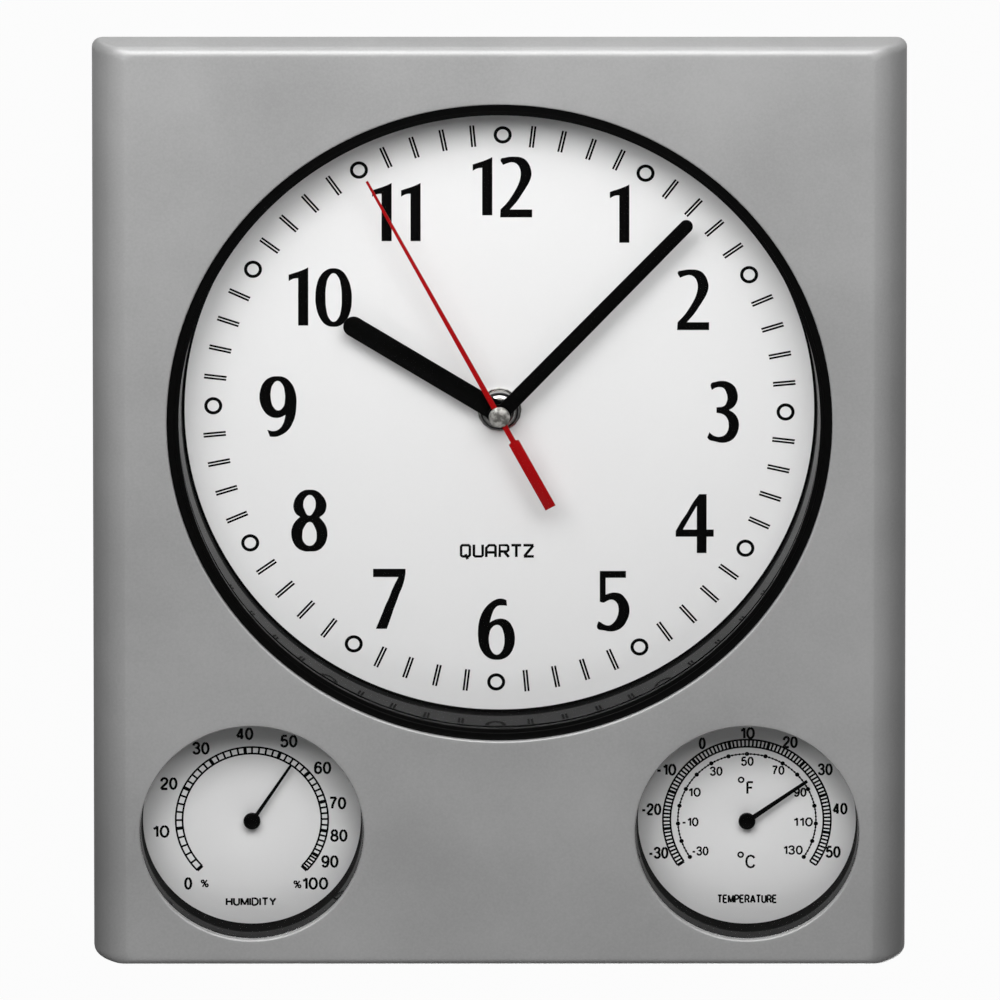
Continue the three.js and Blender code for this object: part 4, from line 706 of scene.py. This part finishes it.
brass = finish("turned_brass", metal, (0.55, 0.40, 0.16, 1), 0.3)
nickel = finish("bright_nickel", metal, (0.66, 0.65, 0.62, 1), 0.22)
rubber = finish("black_rubber", moulded, grey(0.012), 0.8, 0.0003, 0.00003, 0.2)
add_piece(turned(nut_profile, 96, 0.08), "coned_nut", dial_middle,
          finish("plated_nut", plated_nut), "case", ["fixing_nut"])
dress("nut_washer", nickel)
dress("rubber_washer", rubber)
dress("bushing", nickel)

# Hands: stamped from aluminium sheet and pressed on pipes, each with a short collar riveted in its
# eye. Hour and minute hands are coated black, the second hand is dark red with a turned cap.


def arc(shape, start, centre, sweep, steps):
    """A vertex spun clockwise round a centre, as the chain of vertices that it leaves."""
    first = shape.verts.new((start[0], 0, start[1]))
    bmesh.ops.spin(shape, geom=[first], cent=(centre[0], 0, centre[1]), axis=(0, 1, 0),
                   angle=math.radians(sweep), steps=steps, use_merge=False)
    chain = [first]
    while True:
        onward = [e.other_vert(chain[-1]) for e in chain[-1].link_edges]
        onward = [v for v in onward if v not in chain]
        if not onward:
            return chain
        chain.append(onward[0])


def points(shape, *places):
    """Single corners for an outline, as chains of one vertex each."""
    return [[shape.verts.new((x, 0, z))] for x, z in places]


def close_outline(shape, chains):
    """Links chains of vertices into one closed outline with straight lines between them."""
    for chain in chains:
        for one, other in zip(chain, chain[1:]):
            if not shape.edges.get((one, other)):
                shape.edges.new((one, other))
    for one, other in zip(chains, chains[1:] + chains[:1]):
        shape.edges.new((one[-1], other[0]))


def slab(shape, thickness, edge):
    """Fills flat outlines, gives them a thickness and rounds the long edges."""
    made = bmesh.ops.extrude_face_region(shape, geom=fill_outlines(shape))["geom"]
    bmesh.ops.translate(shape, vec=(0, thickness, 0),
                        verts=[g for g in made if isinstance(g, bmesh.types.BMVert)])
    bmesh.ops.recalc_face_normals(shape, faces=shape.faces)
    round_off(shape, [e for e in shape.edges if e.calc_face_angle(0) > 1.2], edge, 2, "EDGES")


def blade(eye, root, tip, length, bore):
    """A hand that points up: a round eye with a hole, and a tapered blade with a round end."""
    shape = bmesh.new()
    lean = math.asin(root / eye)
    round_eye = arc(shape, (root, eye * math.cos(lean)), (0, 0), 360 - 2 * math.degrees(lean), 48)
    round_end = arc(shape, (-tip, length - tip), (0, length - tip), 180, 20)
    close_outline(shape, [round_eye, round_end])
    circle_loop(shape, 0, 0, 0, bore, 32)
    return shape


def sweep_hand(bore):
    """The second hand: a fine flat pointer, and a counterweight behind its small eye."""
    shape = bmesh.new()
    eye, root, tip, tail, length = 2.25, 0.85, 0.4, 1.75, 85.9
    neck_end, tail_start, tail_end = -8.9, -9.3, -33.2
    lean = math.asin(root / eye)
    drop = eye * math.cos(lean)
    half = 180 - 2 * math.degrees(lean)
    right = arc(shape, (root, drop), (0, 0), half, 16)
    left = arc(shape, (-root, -drop), (0, 0), half, 16)
    tail_points = points(shape, (root, neck_end), (tail, tail_start), (tail, tail_end),
                         (-tail, tail_end), (-tail, tail_start), (-root, neck_end))
    tip_points = points(shape, (-tip, length), (tip, length))
    close_outline(shape, [right] + tail_points + [left] + tip_points)
    circle_loop(shape, 0, 0, 0, bore, 24)
    return shape


def coated_sheet(here, color, roughness):
    """Paint on aluminium sheet: fine peel, and a trace of dust."""
    peel = here.noise(0.0006, 2)
    dust = here.noise(0.0011, 1).between(0.7, 0.8)
    pale = tuple(min(1, c * 1.25 + 0.0004) for c in color[:3]) + (1,)
    return here.surface((peel * 0.9 + dust * 0.1).mix(color, pale),
                        peel * 0.1 + dust * 0.06 + roughness - 0.05, specular_ior_level=0.1,
                        normal=here.bump(peel, 0.00001, 0.4))


def spun_cap(here):
    """Satin metal with turning marks and soft dark mottling."""
    reach = from_axis(here, dial_middle)
    marks = reach.math("SINE", reach * 14000)
    mottle = here.noise(0.0014, 3)
    tone = mottle.between(0.35, 0.65)
    return here.surface(tone.mix((0.19, 0.185, 0.17, 1), (0.57, 0.56, 0.53, 1)),
                        mottle * 0.25 + 0.38, metallic=0.75,
                        normal=here.bump(marks * 0.4 + mottle, 0.00004, 0.5))


hand_black = finish("hand_black_coat", coated_sheet, grey(0.0004), 0.42)
hand_red = finish("hand_red_coat", coated_sheet, (0.29, 0.003, 0.004, 1), 0.38)
hour_bore, minute_bore, second_bore = 2.56, 1.66, 0.56
hour_turn, minute_turn, second_turn = 301.8, 43.4, 331.7
collar_wall, collar_length = 1.1, 0.35
for name, shape, bore, depth, thickness, turn, coat, slot in (
        ("hour", blade(3.75, 3.2, 3.2, 55.9, hour_bore), hour_bore, 11.4, 0.5, hour_turn,
         hand_black, "hand_black"),
        ("minute", blade(3.5, 2.3, 2.05, 85.5, minute_bore), minute_bore, 9.0, 0.5, minute_turn,
         hand_black, "hand_black"),
        ("second", sweep_hand(second_bore), second_bore, 7.3, 0.35, second_turn, hand_red,
         "hand_red")):
    slab(shape, thickness, 0.07)
    back = thickness + collar_length
    join(shape, turned([(bore, thickness), (bore + collar_wall, thickness),
                        (bore + collar_wall, back), (bore, back)], 48, 0.05))
    shift(shape, (0, depth, 0))
    add_piece(shape, f"{name}_hand_blade", dial_middle, coat, f"{name}_train",
              [f"{name}_hand"], turn)
cap_profile = [(0, 6.0), (1.0, 6.03), (1.8, 6.12), (2.5, 6.3), (2.95, 6.5), (3.2, 6.78),
               (3.25, 7.0), (3.25, 7.3), (second_bore, 7.3), (second_bore, 6.8), (0, 6.8)]
add_piece(turned(cap_profile, 96), "turned_cap", dial_middle, finish("spun_cap", spun_cap),
          "second_train", ["second_hand_cap"], second_turn)

# Gauges: a stepped black cup pressed into each small opening, a printed dial and a black needle on
# the shaft of a bimetal or laminate coil, which lies in a well behind the dial.
cup_profile = [(34.45, 2.2), (36.4, 2.2), (36.4, 3.4), (34.8, 3.4), (34.6, 16), (15.4, 16),
               (15.4, 22.2), (1.86, 22.2), (1.86, 21), (14, 21), (14, 14.8), (33.7, 14.8),
               (33.7, 14.3), (34.3, 2.6)]
hub_profile = [(0, 11.9), (1.9, 11.9), (2.4, 12.05), (2.6, 12.4), (2.6, 13.3), (0.6, 13.3),
               (0.6, 15.6), (1.6, 15.6), (1.6, 18.6), (0.6, 18.6), (0.6, 22.1), (0, 22.1)]
dial_front, dial_rear, pointer_depth = 14.3, 14.8, 12.2


def cup_black(here):
    """Black plastic: matt deep in the cup, and polished towards its mouth."""
    grain = here.noise(0.0005, 2)
    polish = here.shifted(case_middle).along(1).between(0.0082, 0.0068)
    return here.surface(grain.mix(grey(0.0015), grey(0.004)), grain * 0.1 + 0.55,
                        specular_ior_level=0.03, coat_weight=polish * 0.4, coat_roughness=0.12,
                        normal=here.bump(grain, 0.00002, 0.4))


matt_cup = finish("cup_black", cup_black)
humidity_angles = [-134, -97, -63.5, -33.6, -5.3, 22, 49, 75, 99, 120, 134]


def print_numbers(shape, numbers, wide, high, half_width):
    """Numbers, each with the place of its middle. Wide is what one digit takes."""
    for text, x, z in numbers:
        width = wide * len(text) - 0.3 - ("-" in text) * 0.9
        pen_word(shape, text, x, z, width, high, half_width)


def humidity_print():
    """Relative humidity: a closed track with a stroke each 2 %, heavier at each 10 %."""
    shape = bmesh.new()
    first, last = humidity_angles[0], humidity_angles[-1]
    for radius in (21.4, 23.5):
        bent_bar(shape, radius - 0.28, radius + 0.28, first, last - first, 96)
    for step in range(51):
        tens, rest = divmod(step, 5)
        low, high = humidity_angles[tens], humidity_angles[min(tens + 1, 10)]
        bar_mark(shape, low + (high - low) * rest / 5, 22.45, 2.2, 0.6 if rest else 1.05)
    numbers = [("0", -19.7, -20.6), ("10", -28.1, -3.8), ("20", -25.6, 11.7), ("30", -15.7, 23.1),
               ("40", -2.2, 27.8), ("50", 11.4, 25.4), ("60", 21.8, 16.8), ("70", 26.4, 5.4),
               ("80", 26.8, -5.1), ("90", 24, -13.5), ("100", 19.4, -20.6)]
    print_numbers(shape, numbers, 2.85, 4.2, 0.38)
    for x, z in ((-14.6, -20.6), (14.0, -20.9)):
        pen_word(shape, "%", x, z, 2.5, 2.7, 0.24)
    pen_word(shape, "HUMIDITY", -0.3, -26.5, 15.7, 2.8, 0.3)
    return shape


def temperature_print():
    """Degrees Celsius on a fine track outside, degrees Fahrenheit on a dotted line inside."""
    shape = bmesh.new()
    celsius_start, celsius_step, fahrenheit_middle, fahrenheit_step = -124.6, 2.8, 50, 1.555
    line_radius, line_half, line_start = 21.28, 0.2, -124.4
    for radius in (23.6, 25.9):
        bent_bar(shape, radius - 0.27, radius + 0.27, celsius_start, -2 * celsius_start, 96)
    for degree in range(90):
        bar_mark(shape, celsius_start + degree * celsius_step, 24.75, 2.3,
                 0.6 if degree % 10 else 0.95)
    bent_bar(shape, line_radius - line_half, line_radius + line_half, line_start,
             -2 * line_start, 96)
    for degree in range(-30, 131, 2):
        radius = 0.34 if degree % 10 else 0.7
        angle = math.radians((degree - fahrenheit_middle) * fahrenheit_step)
        spot = (Matrix.Rotation(angle, 4, "Y")
                @ Matrix.Translation((0, ink_height / 2, line_radius))
                @ Matrix.Rotation(math.radians(90), 4, "X"))
        bmesh.ops.create_cone(shape, cap_ends=True, segments=10, radius1=radius, radius2=radius,
                              depth=ink_height, matrix=spot)
    outer = [("-30", -27.3, -10.7), ("-20", -29.5, 3.4), ("-10", -24.9, 16.2), ("0", -13.8, 24.7),
             ("10", 0.1, 28.0), ("20", 13.3, 25.1), ("30", 24.1, 16.3), ("40", 28.7, 3.6),
             ("50", 26.6, -10.4)]
    inner = [("-30", -14.4, -10.1), ("-10", -17.5, -0.7), ("10", -16.2, 8.9), ("30", -9.5, 15.7),
             ("50", 0.1, 18.9), ("70", 9.6, 16), ("90", 16.4, 8.9), ("110", 17.3, -0.7),
             ("130", 14.2, -9.8)]
    for numbers, wide, high in ((outer, 2.5, 4.0), (inner, 2.15, 3.1)):
        print_numbers(shape, numbers, wide, high, high * 0.092)
    for letter, wide, high, x, z, ring_x, ring_z in (("F", 2.4, 4.4, 1.0, 10.3, -1.8, 12.9),
                                                     ("C", 3.2, 4.5, 1.1, -13.5, -1.9, -11.3)):
        pen_word(shape, letter, x, z, wide, high, 0.34)
        ring = bmesh.new()
        bent_bar(ring, 0.5, 1.05, 0, 360, 24)
        join(shape, ring, ring_x, 0, ring_z)
    pen_word(shape, "TEMPERATURE", 0.1, -25.6, 18.6, 2.9, 0.28)
    return shape


bimetal = finish("bimetal_strip", metal, (0.50, 0.38, 0.17, 1), 0.36, 0.0004)
for gauge, scale, length, root, tip, turn, body in (
        ("hygrometer", humidity_print(), 21.9, 0.6, 0.38, 33.5, "humidity_pointer"),
        ("thermometer", temperature_print(), 22.7, 0.8, 0.48, 54.8, "temperature_pointer")):
    middle = gauge_middles[gauge]
    add_piece(turned(cup_profile, 144, 0.1), f"black_{gauge}_cup", middle, matt_cup, "case",
              [f"{gauge}_cup"])
    gauge_dial = [(1, dial_front), (33.6, dial_front), (33.6, dial_rear), (1, dial_rear)]
    add_piece(turned(gauge_dial, 144, 0.05), f"white_{gauge}_dial", middle, dial_white, "case",
              [f"{gauge}_dial"])
    shift(scale, (0, dial_front - ink_height, 0))
    add_piece(scale, f"{gauge}_print", middle, ink, "case", [])
    pointer = bmesh.new()
    close_outline(pointer, points(pointer, (-root, 0), (-tip, length), (tip, length), (root, 0)))
    slab(pointer, 0.3, 0.05)
    shift(pointer, (0, pointer_depth, 0))
    join(pointer, turned(hub_profile, 64))
    add_piece(pointer, f"{gauge}_pointer", middle, hand_black, body,
              [f"{gauge}_needle"], turn)
    dress(f"{gauge}_bush", brass)
    dress(f"{gauge}_coil", bimetal)

# Back cover: a black tray, moulded with a fine spark grain. Its side walls taper towards the wall
# and a lip centres it in the front case. It has the keyhole, a window for the movement, air slots
# behind the gauges and four deep wells for its screws.
cover_depth, cover_step, cover_taper, cover_edge, cover_wall = 36, 0.8, 8.2, 2.5, 2.2
rear_inside, rear_width, rear_height, rear_corner = 34, 227, 272, 9
slot_half, entry_radius, slot_z, entry_z = 2.3, 5.0, 120.5, 110.5
window_side, window_corner = 60, 2.5
air_slot_width, air_slot_height, air_slot_corner, air_slot_pitch = 26, 2, 0.9, 6
well_bore, well_radius, well_floor = 3.3, 4.6, 15
lip_x, lip_z, lip_thickness, lip_front, lip_root = 122.08, 144.85, 1.5, 10, 17


def cover_ring(depth, inset=0.0):
    """Half sizes of the tapered tray at a depth."""
    inward = cover_step + cover_taper * (depth - shell_depth) / (cover_depth - shell_depth) + inset
    return (case_half_width - inward, case_half_height - inward, depth)


cover = bmesh.new()
rounded_loop(cover, 0, cover_depth, 0, rear_width, rear_height, rear_corner, 8)
rounded_loop(cover, 0, cover_depth, dial_rise, window_side, window_side, window_corner, 5)
for side in (-1, 1):
    for row in range(4):
        rounded_loop(cover, side * gauge_x, cover_depth, gauge_z + (row - 1.5) * air_slot_pitch,
                     air_slot_width, air_slot_height, air_slot_corner, 4)
for x, z in screw_places["back"]:
    circle_loop(cover, x, cover_depth, z, well_bore, 32)
meet = math.asin(slot_half / entry_radius)
slot_top = arc(cover, (-slot_half, slot_z), (0, slot_z), 180, 12)
entry = arc(cover, (slot_half, entry_z + entry_radius * math.cos(meet)), (0, entry_z),
            360 - 2 * math.degrees(meet), 32)
close_outline(cover, [slot_top, entry])
for v in slot_top + entry:
    v.co.y = cover_depth
rear = fill_outlines(cover)
bmesh.ops.inset_region(cover, faces=rear, use_boundary=True, use_even_offset=True, thickness=0.5)
sheet_pair(cover, rear_inside - cover_depth)


def rim_edges(shape, depth, inside):
    """The open edges at a depth whose vertices all pass a test on x and z."""
    return [e for e in shape.edges if e.is_boundary
            and all(abs(v.co.y - depth) < 0.001 and inside(v.co.x, v.co.z) for v in e.verts)]


def in_outline(x, z):
    """Tells what lies inside the rear wall from what lies on its rim."""
    clear = rear_corner + 0.5
    return abs(x) < rear_width / 2 - clear and abs(z) < rear_height / 2 - clear


for x, z in screw_places["back"]:
    rim = rim_round(cover, x, z, well_bore, rear_inside)
    widening = well_radius / well_bore
    widen(cover, list({v for e in rim for v in e.verts}), (x, z), widening, widening)
    tube = [(well_radius, rear_inside), (well_radius, shell_depth), (boss_bore, shell_depth)]
    grow_through(cover, rim, (x, z), [(r, r, d) for r, d in tube])
    bore = [(well_bore, cover_depth), (well_bore, well_floor), (boss_bore, well_floor),
            (boss_bore, shell_depth)]
    grow_through(cover, rim_round(cover, x, z, well_bore, cover_depth), (x, z),
                 [(r, r, d) for r, d in bore])
inner_walls = rim_edges(cover, cover_depth, in_outline)
grow(cover, inner_walls, (0, 0), 1, 1, rear_inside - cover_depth)
edge_rings = [cover_ring(cover_depth - cover_edge * (1 - math.cos(a)),
                         cover_edge * (1 - math.sin(a))) for a in edge_turns]
cover_lip = [(lip_x - inset, lip_z - inset, depth) for inset, depth in (
    (0, shell_depth), (0, lip_front + 0.2), (0.2, lip_front), (lip_thickness, lip_front),
    (lip_thickness, lip_root))]
outline = rim_edges(cover, cover_depth, lambda x, z: not in_outline(x, z))
rear_half = (rear_width / 2, rear_height / 2)
grow_through(cover, outline, (0, 0), [
    rear_half + (cover_depth,), *edge_rings[1:], cover_ring(shell_depth), *cover_lip,
    cover_ring(rear_inside, cover_wall), rear_half + (rear_inside,)])
bmesh.ops.remove_doubles(cover, verts=cover.verts, dist=0.002)
bmesh.ops.recalc_face_normals(cover, faces=cover.faces)


def grained_black(here):
    """Black plastic from a spark-eroded mould, with pale scuffs where it has been handled."""
    pits = here.noise(0.0005, 3)
    wave = here.noise(0.03, 2)
    scuff = here.shifted(scale=(1, 1, 6)).noise(0.012, 5).between(0.62, 0.74)
    tone = (pits * 0.5 + wave * 0.5).between(0.3, 0.7)
    return here.surface((tone * 0.7 + scuff * 0.3).mix(grey(0.014), grey(0.030)),
                        pits * 0.16 + 0.5 - scuff * 0.12, specular_ior_level=0.4,
                        normal=here.bump(pits * 0.75 + wave * 0.25, 0.00006, 0.7))


black_grain = finish("grained_black", grained_black)
add_piece(cover, "black_back_cover", case_middle, black_grain, "case",
          ["back_cover"], crease=24)

# Screws: four in the wells of the cover and four that hold the dial, all self-tapping with a
# domed head and a cross recess, rolled from zinc-plated steel wire.
crown_radius, crown_height, shank_radius, core_radius, thread_pitch = 1.9, 1.8, 1.3, 1.0, 0.5
recess_half, recess_arm, recess_depth = 0.42, 1.5, 1.0


def cross_screw(length):
    """A screw along the depth axis, its head at the back and the seat of its head at zero."""
    shape = bmesh.new()
    w, r = recess_half, recess_arm
    cross = points(shape, (-w, r), (w, r), (w, w), (r, w), (r, -w), (w, -w), (w, -r), (-w, -r),
                   (-w, -w), (-r, -w), (-r, w), (-w, w))
    close_outline(shape, cross)
    circle_loop(shape, 0, 0, 0, crown_radius, 48)
    fill_outlines(shape)
    shift(shape, (0, crown_height, 0))
    recess = rim_edges(shape, crown_height, lambda x, z: math.hypot(x, z) < 1.8)
    bmesh.ops.contextual_create(shape, geom=grow(shape, recess, (0, 0), 0.72, 0.72, -recess_depth))
    rings = [(crown_radius, crown_height), (2.25, 1.68), (2.55, 1.4), (2.75, 0.95), (2.8, 0.5),
             (2.8, 0), (shank_radius, 0)]
    for i in range(int(length / thread_pitch) - 3):
        depth = -0.4 - i * thread_pitch
        rings += [(shank_radius, depth), (core_radius, depth - thread_pitch / 2)]
    rim = grow_through(shape, rim_round(shape, 0, 0, crown_radius, crown_height), (0, 0),
                       [(r, r, d) for r, d in rings + [(0.3, -length)]])
    bmesh.ops.contextual_create(shape, geom=rim)
    bmesh.ops.recalc_face_normals(shape, faces=shape.faces)
    return shape


zinc = finish("zinc_plated_steel", metal, (0.50, 0.51, 0.53, 1), 0.3, 0.0005)
for kind, seat, length in (("back", well_floor, 10), ("dial", 17.6, 9.6)):
    for number, (x, z) in enumerate(screw_places[kind], 1):
        middle = case_middle + Vector((x, seat, z)) / 1000
        add_piece(cross_screw(length), f"cross_{kind}_screw_{number}", middle, zinc, "case",
                  [f"{kind}_screw_{number}"])

# Movement: a black moulded tub clamped behind the dial, closed by a lid over the wheels. The lid
# leaves the battery bay open, and the knob that sets the hands stands behind it.
movement_middle = dial_middle + Vector((0, 0.0186, 0))
nylon = finish("white_nylon", moulded, (0.72, 0.71, 0.65, 1), 0.42, 0.0006, 0.00001, 0.4)


def copper_winding(here):
    """Fine enamelled wire, wound side by side along an upright bobbin."""
    layers = here.along(2).math("SINE", here.along(2) * 30000)
    patch = here.noise(0.002, 2)
    tone = (layers * 0.3 + patch * 0.7).between(0.1, 0.8)
    return here.surface(tone.mix((0.30, 0.10, 0.035, 1), (0.50, 0.20, 0.08, 1)),
                        patch * 0.2 + 0.25, metallic=0.8, normal=here.bump(layers, 0.00004, 0.8))


def circuit_green(here):
    """Green solder mask over tracks that show as faint lighter lines."""
    tracks = here.node("TexBrick", {}, {"Vector": here, "Scale": 260.0, "Mortar Size": 0.12}, 1)
    mask = here.noise(0.001, 2)
    tone = tracks * 0.6 + mask * 0.3
    return here.surface(tone.mix((0.012, 0.085, 0.025, 1), (0.05, 0.20, 0.07, 1)),
                        mask * 0.15 + 0.3, normal=here.bump(tracks, 0.00003, 0.5))


def cell_wrap(here):
    """The cell's printed sleeve: dark blue-grey, with a broad pale band and shrink creases."""
    upright = here.shifted(movement_middle).along(2)
    band = upright.between(0.0135, 0.0137) - upright.between(0.0236, 0.02375)
    crease = here.shifted(scale=(1, 1, 0.1)).noise(0.0012, 3)
    end = upright.math("ABSOLUTE", upright).between(0.0238, 0.0240)
    tint = band.mix((0.020, 0.030, 0.045, 1), (0.42, 0.30, 0.12, 1))
    return here.surface(end.mix(tint, grey(0.5)), crease * 0.12 + 0.24, metallic=end,
                        coat_weight=0.4, coat_roughness=0.1,
                        normal=here.bump(crease, 0.00003, 0.4))


for coat, nodes in (
        (black_grain, "movement_case middle_plate movement_cover"),
        (nylon, "hour_wheel minute_wheel centre_wheel third_wheel second_wheel fifth_wheel"),
        (nickel, "quartz_crystal contact_positive contact_negative"),
        (brass, "centre_pipe"),
        (finish("plain_steel", metal, (0.45, 0.46, 0.47, 1), 0.32), "rotor"),
        (finish("stator_sheet", metal, (0.40, 0.41, 0.42, 1), 0.4, 0.001, (1, 1, 0.1)), "stator"),
        (finish("copper_winding", copper_winding), "coil"),
        (finish("circuit_green", circuit_green), "circuit_board")):
    for node in nodes.split():
        dress(node, coat)

# Setting knob: a moulded disc with finger grooves round its edge and a dimple in the middle. It is
# pressed on the shaft of the minute wheel and stands clear of the lid, in reach of a finger.
knob_radius, knob_bore, knob_thickness, knob_boss = 5.5, 1.26, 1.7, 2.05
groove_factors = {0: 0.93, 1: 0.955, 7: 0.955}
knob = bmesh.new()
circle_loop(knob, 0, 0, 0, knob_radius, 96)
for number, v in enumerate(list(knob.verts)):
    v.co *= groove_factors.get(number % 8, 1)
circle_loop(knob, 0, 0, 0, knob_bore, 32)
slab(knob, knob_thickness, 0.2)
join(knob, turned([(knob_bore, 1.5), (3.4, 1.5), (3.4, 1.95), (3.1, knob_boss),
                   (knob_bore, knob_boss)], 64, 0.08))
bmesh.ops.scale(knob, vec=(1, knob_thickness / knob_boss, 1), verts=knob.verts)
shift(knob, (0, 15.4, 0))
add_piece(knob, "grooved_setting_knob", movement_middle + Vector((0, 0, -0.01)), nylon,
          "setting_train", ["setting_knob"])

# Battery: one AA cell in a printed shrink sleeve, with a nickel-plated button at the top and a
# flat end at the bottom. It clips in from behind between its two contacts.
cell = turned([(0, -25.25), (6.0, -25.25), (6.3, -24.9), (6.75, -24.9), (7.25, -24.3),
               (7.25, 23.5), (6.9, 24.05), (6.3, 24.15), (5.9, 23.8), (3.2, 23.8), (3.0, 24.15),
               (2.75, 24.15), (2.75, 25.0), (2.5, 25.25), (0, 25.25)], 96, 0.12)
turn_about(cell, "X", 90)
cell_low, cell_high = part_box("battery")
add_piece(cell, "sleeved_battery", (cell_low + cell_high) / 2, finish("cell_wrap", cell_wrap),
          "battery_cell", ["battery"])

# Studio: a plain pale floor far below, a white surround, two large soft lamps in front and above, a
# weak one below, a strip over the top edge and two behind. The camera looks down from far away.
camera_middle = Vector((0.00018, -0.036, -0.11768))
camera_rise = math.radians(17.2)
camera_distance = 14
camera_data = bpy.data.cameras.new("camera")
camera_data.lens, camera_data.sensor_width, camera_data.clip_end = 1640, 36, 60


def looking(name, data, place, aim):
    """A camera or a lamp at a place, turned towards its aim."""
    made = into_scene(name, data)
    made.location = place
    made.rotation_mode = "QUATERNION"
    made.rotation_quaternion = (Vector(aim) - Vector(place)).to_track_quat("-Z", "Y")
    return made


away = Vector((0, -math.cos(camera_rise), math.sin(camera_rise))) * camera_distance
bpy.context.scene.camera = looking("camera", camera_data, camera_middle + away, camera_middle)
for name, place, aim, size, power in (
        ("left", (-0.42, -0.76, 0.66), (0, -0.03, -0.1), (0.75, 0.75), 9.4),
        ("right", (0.28, -0.78, 0.68), (0, -0.03, -0.1), (0.75, 0.75), 8.5),
        ("low", (0.0, -1.0, -0.95), (0, -0.03, -0.15), (0.9, 0.4), 1.2),
        ("strip", (-0.04, -0.3, 0.2), (0, -0.03, -0.05), (0.4, 0.12), 0.28),
        ("back", (0.5, 0.95, 0.8), (0, 0, 0), (0.6, 0.6), 1.6),
        ("rear", (0.3, 0.9, -1.1), (0, 0, -0.12), (0.8, 0.6), 7.0)):
    lamp = bpy.data.lights.new(name, "AREA")
    lamp.shape, lamp.size, lamp.size_y, lamp.energy = "RECTANGLE", size[0], size[1], power
    looking(name, lamp, place, aim)


def seen_white(start, behind):
    """1 where the ray comes from the camera or through glass, or from a gloss and goes behind."""
    path = {name: start.node("LightPath", {}, {}, name)
            for name in ("Is Camera Ray", "Is Glossy Ray", "Is Transmission Ray")}
    total = path["Is Camera Ray"] + path["Is Transmission Ray"] + path["Is Glossy Ray"] * behind
    return start.math("MINIMUM", total, 1.0)


def pale_floor(here):
    """White paper to the eye, which still takes the object's shadow and darkens in front."""
    tone = here.noise(0.4, 2)
    lit = here.node("BsdfDiffuse", {}, {"Color": tone.mix(grey(0.78), grey(0.82))})
    white = here.node("Emission", {}, {"Color": grey(1), "Strength": 1.0})
    share = seen_white(here, here.along(1).between(4, 12)) * 0.97
    return here.node("MixShader", {}, {0: share, 1: lit, 2: white})


floor = bmesh.new()
bmesh.ops.create_grid(floor, x_segments=8, y_segments=8, size=60)
shift(floor, (0, 0, -2.2))
shape_object(floor, "floor", finish("pale_floor", pale_floor))

world = bpy.data.worlds.new("surround")
bpy.context.scene.world = world
world.use_nodes = True
world.node_tree.nodes.clear()
start = Socket(world.node_tree)
direction = start.node("TexCoord", {}, {}, "Generated")
ambient = 0.05
behind = (direction.along(1) * 0.9 + direction.along(0) * 0.25).between(0.2, 1.0)
strength = seen_white(start, behind) * (1 - ambient) + ambient
surround = start.node("Background", {}, {"Color": grey(1), "Strength": strength})
start.node("OutputWorld", {}, {"Surface": surround})
bpy.context.scene.view_settings.view_transform = "Standard"
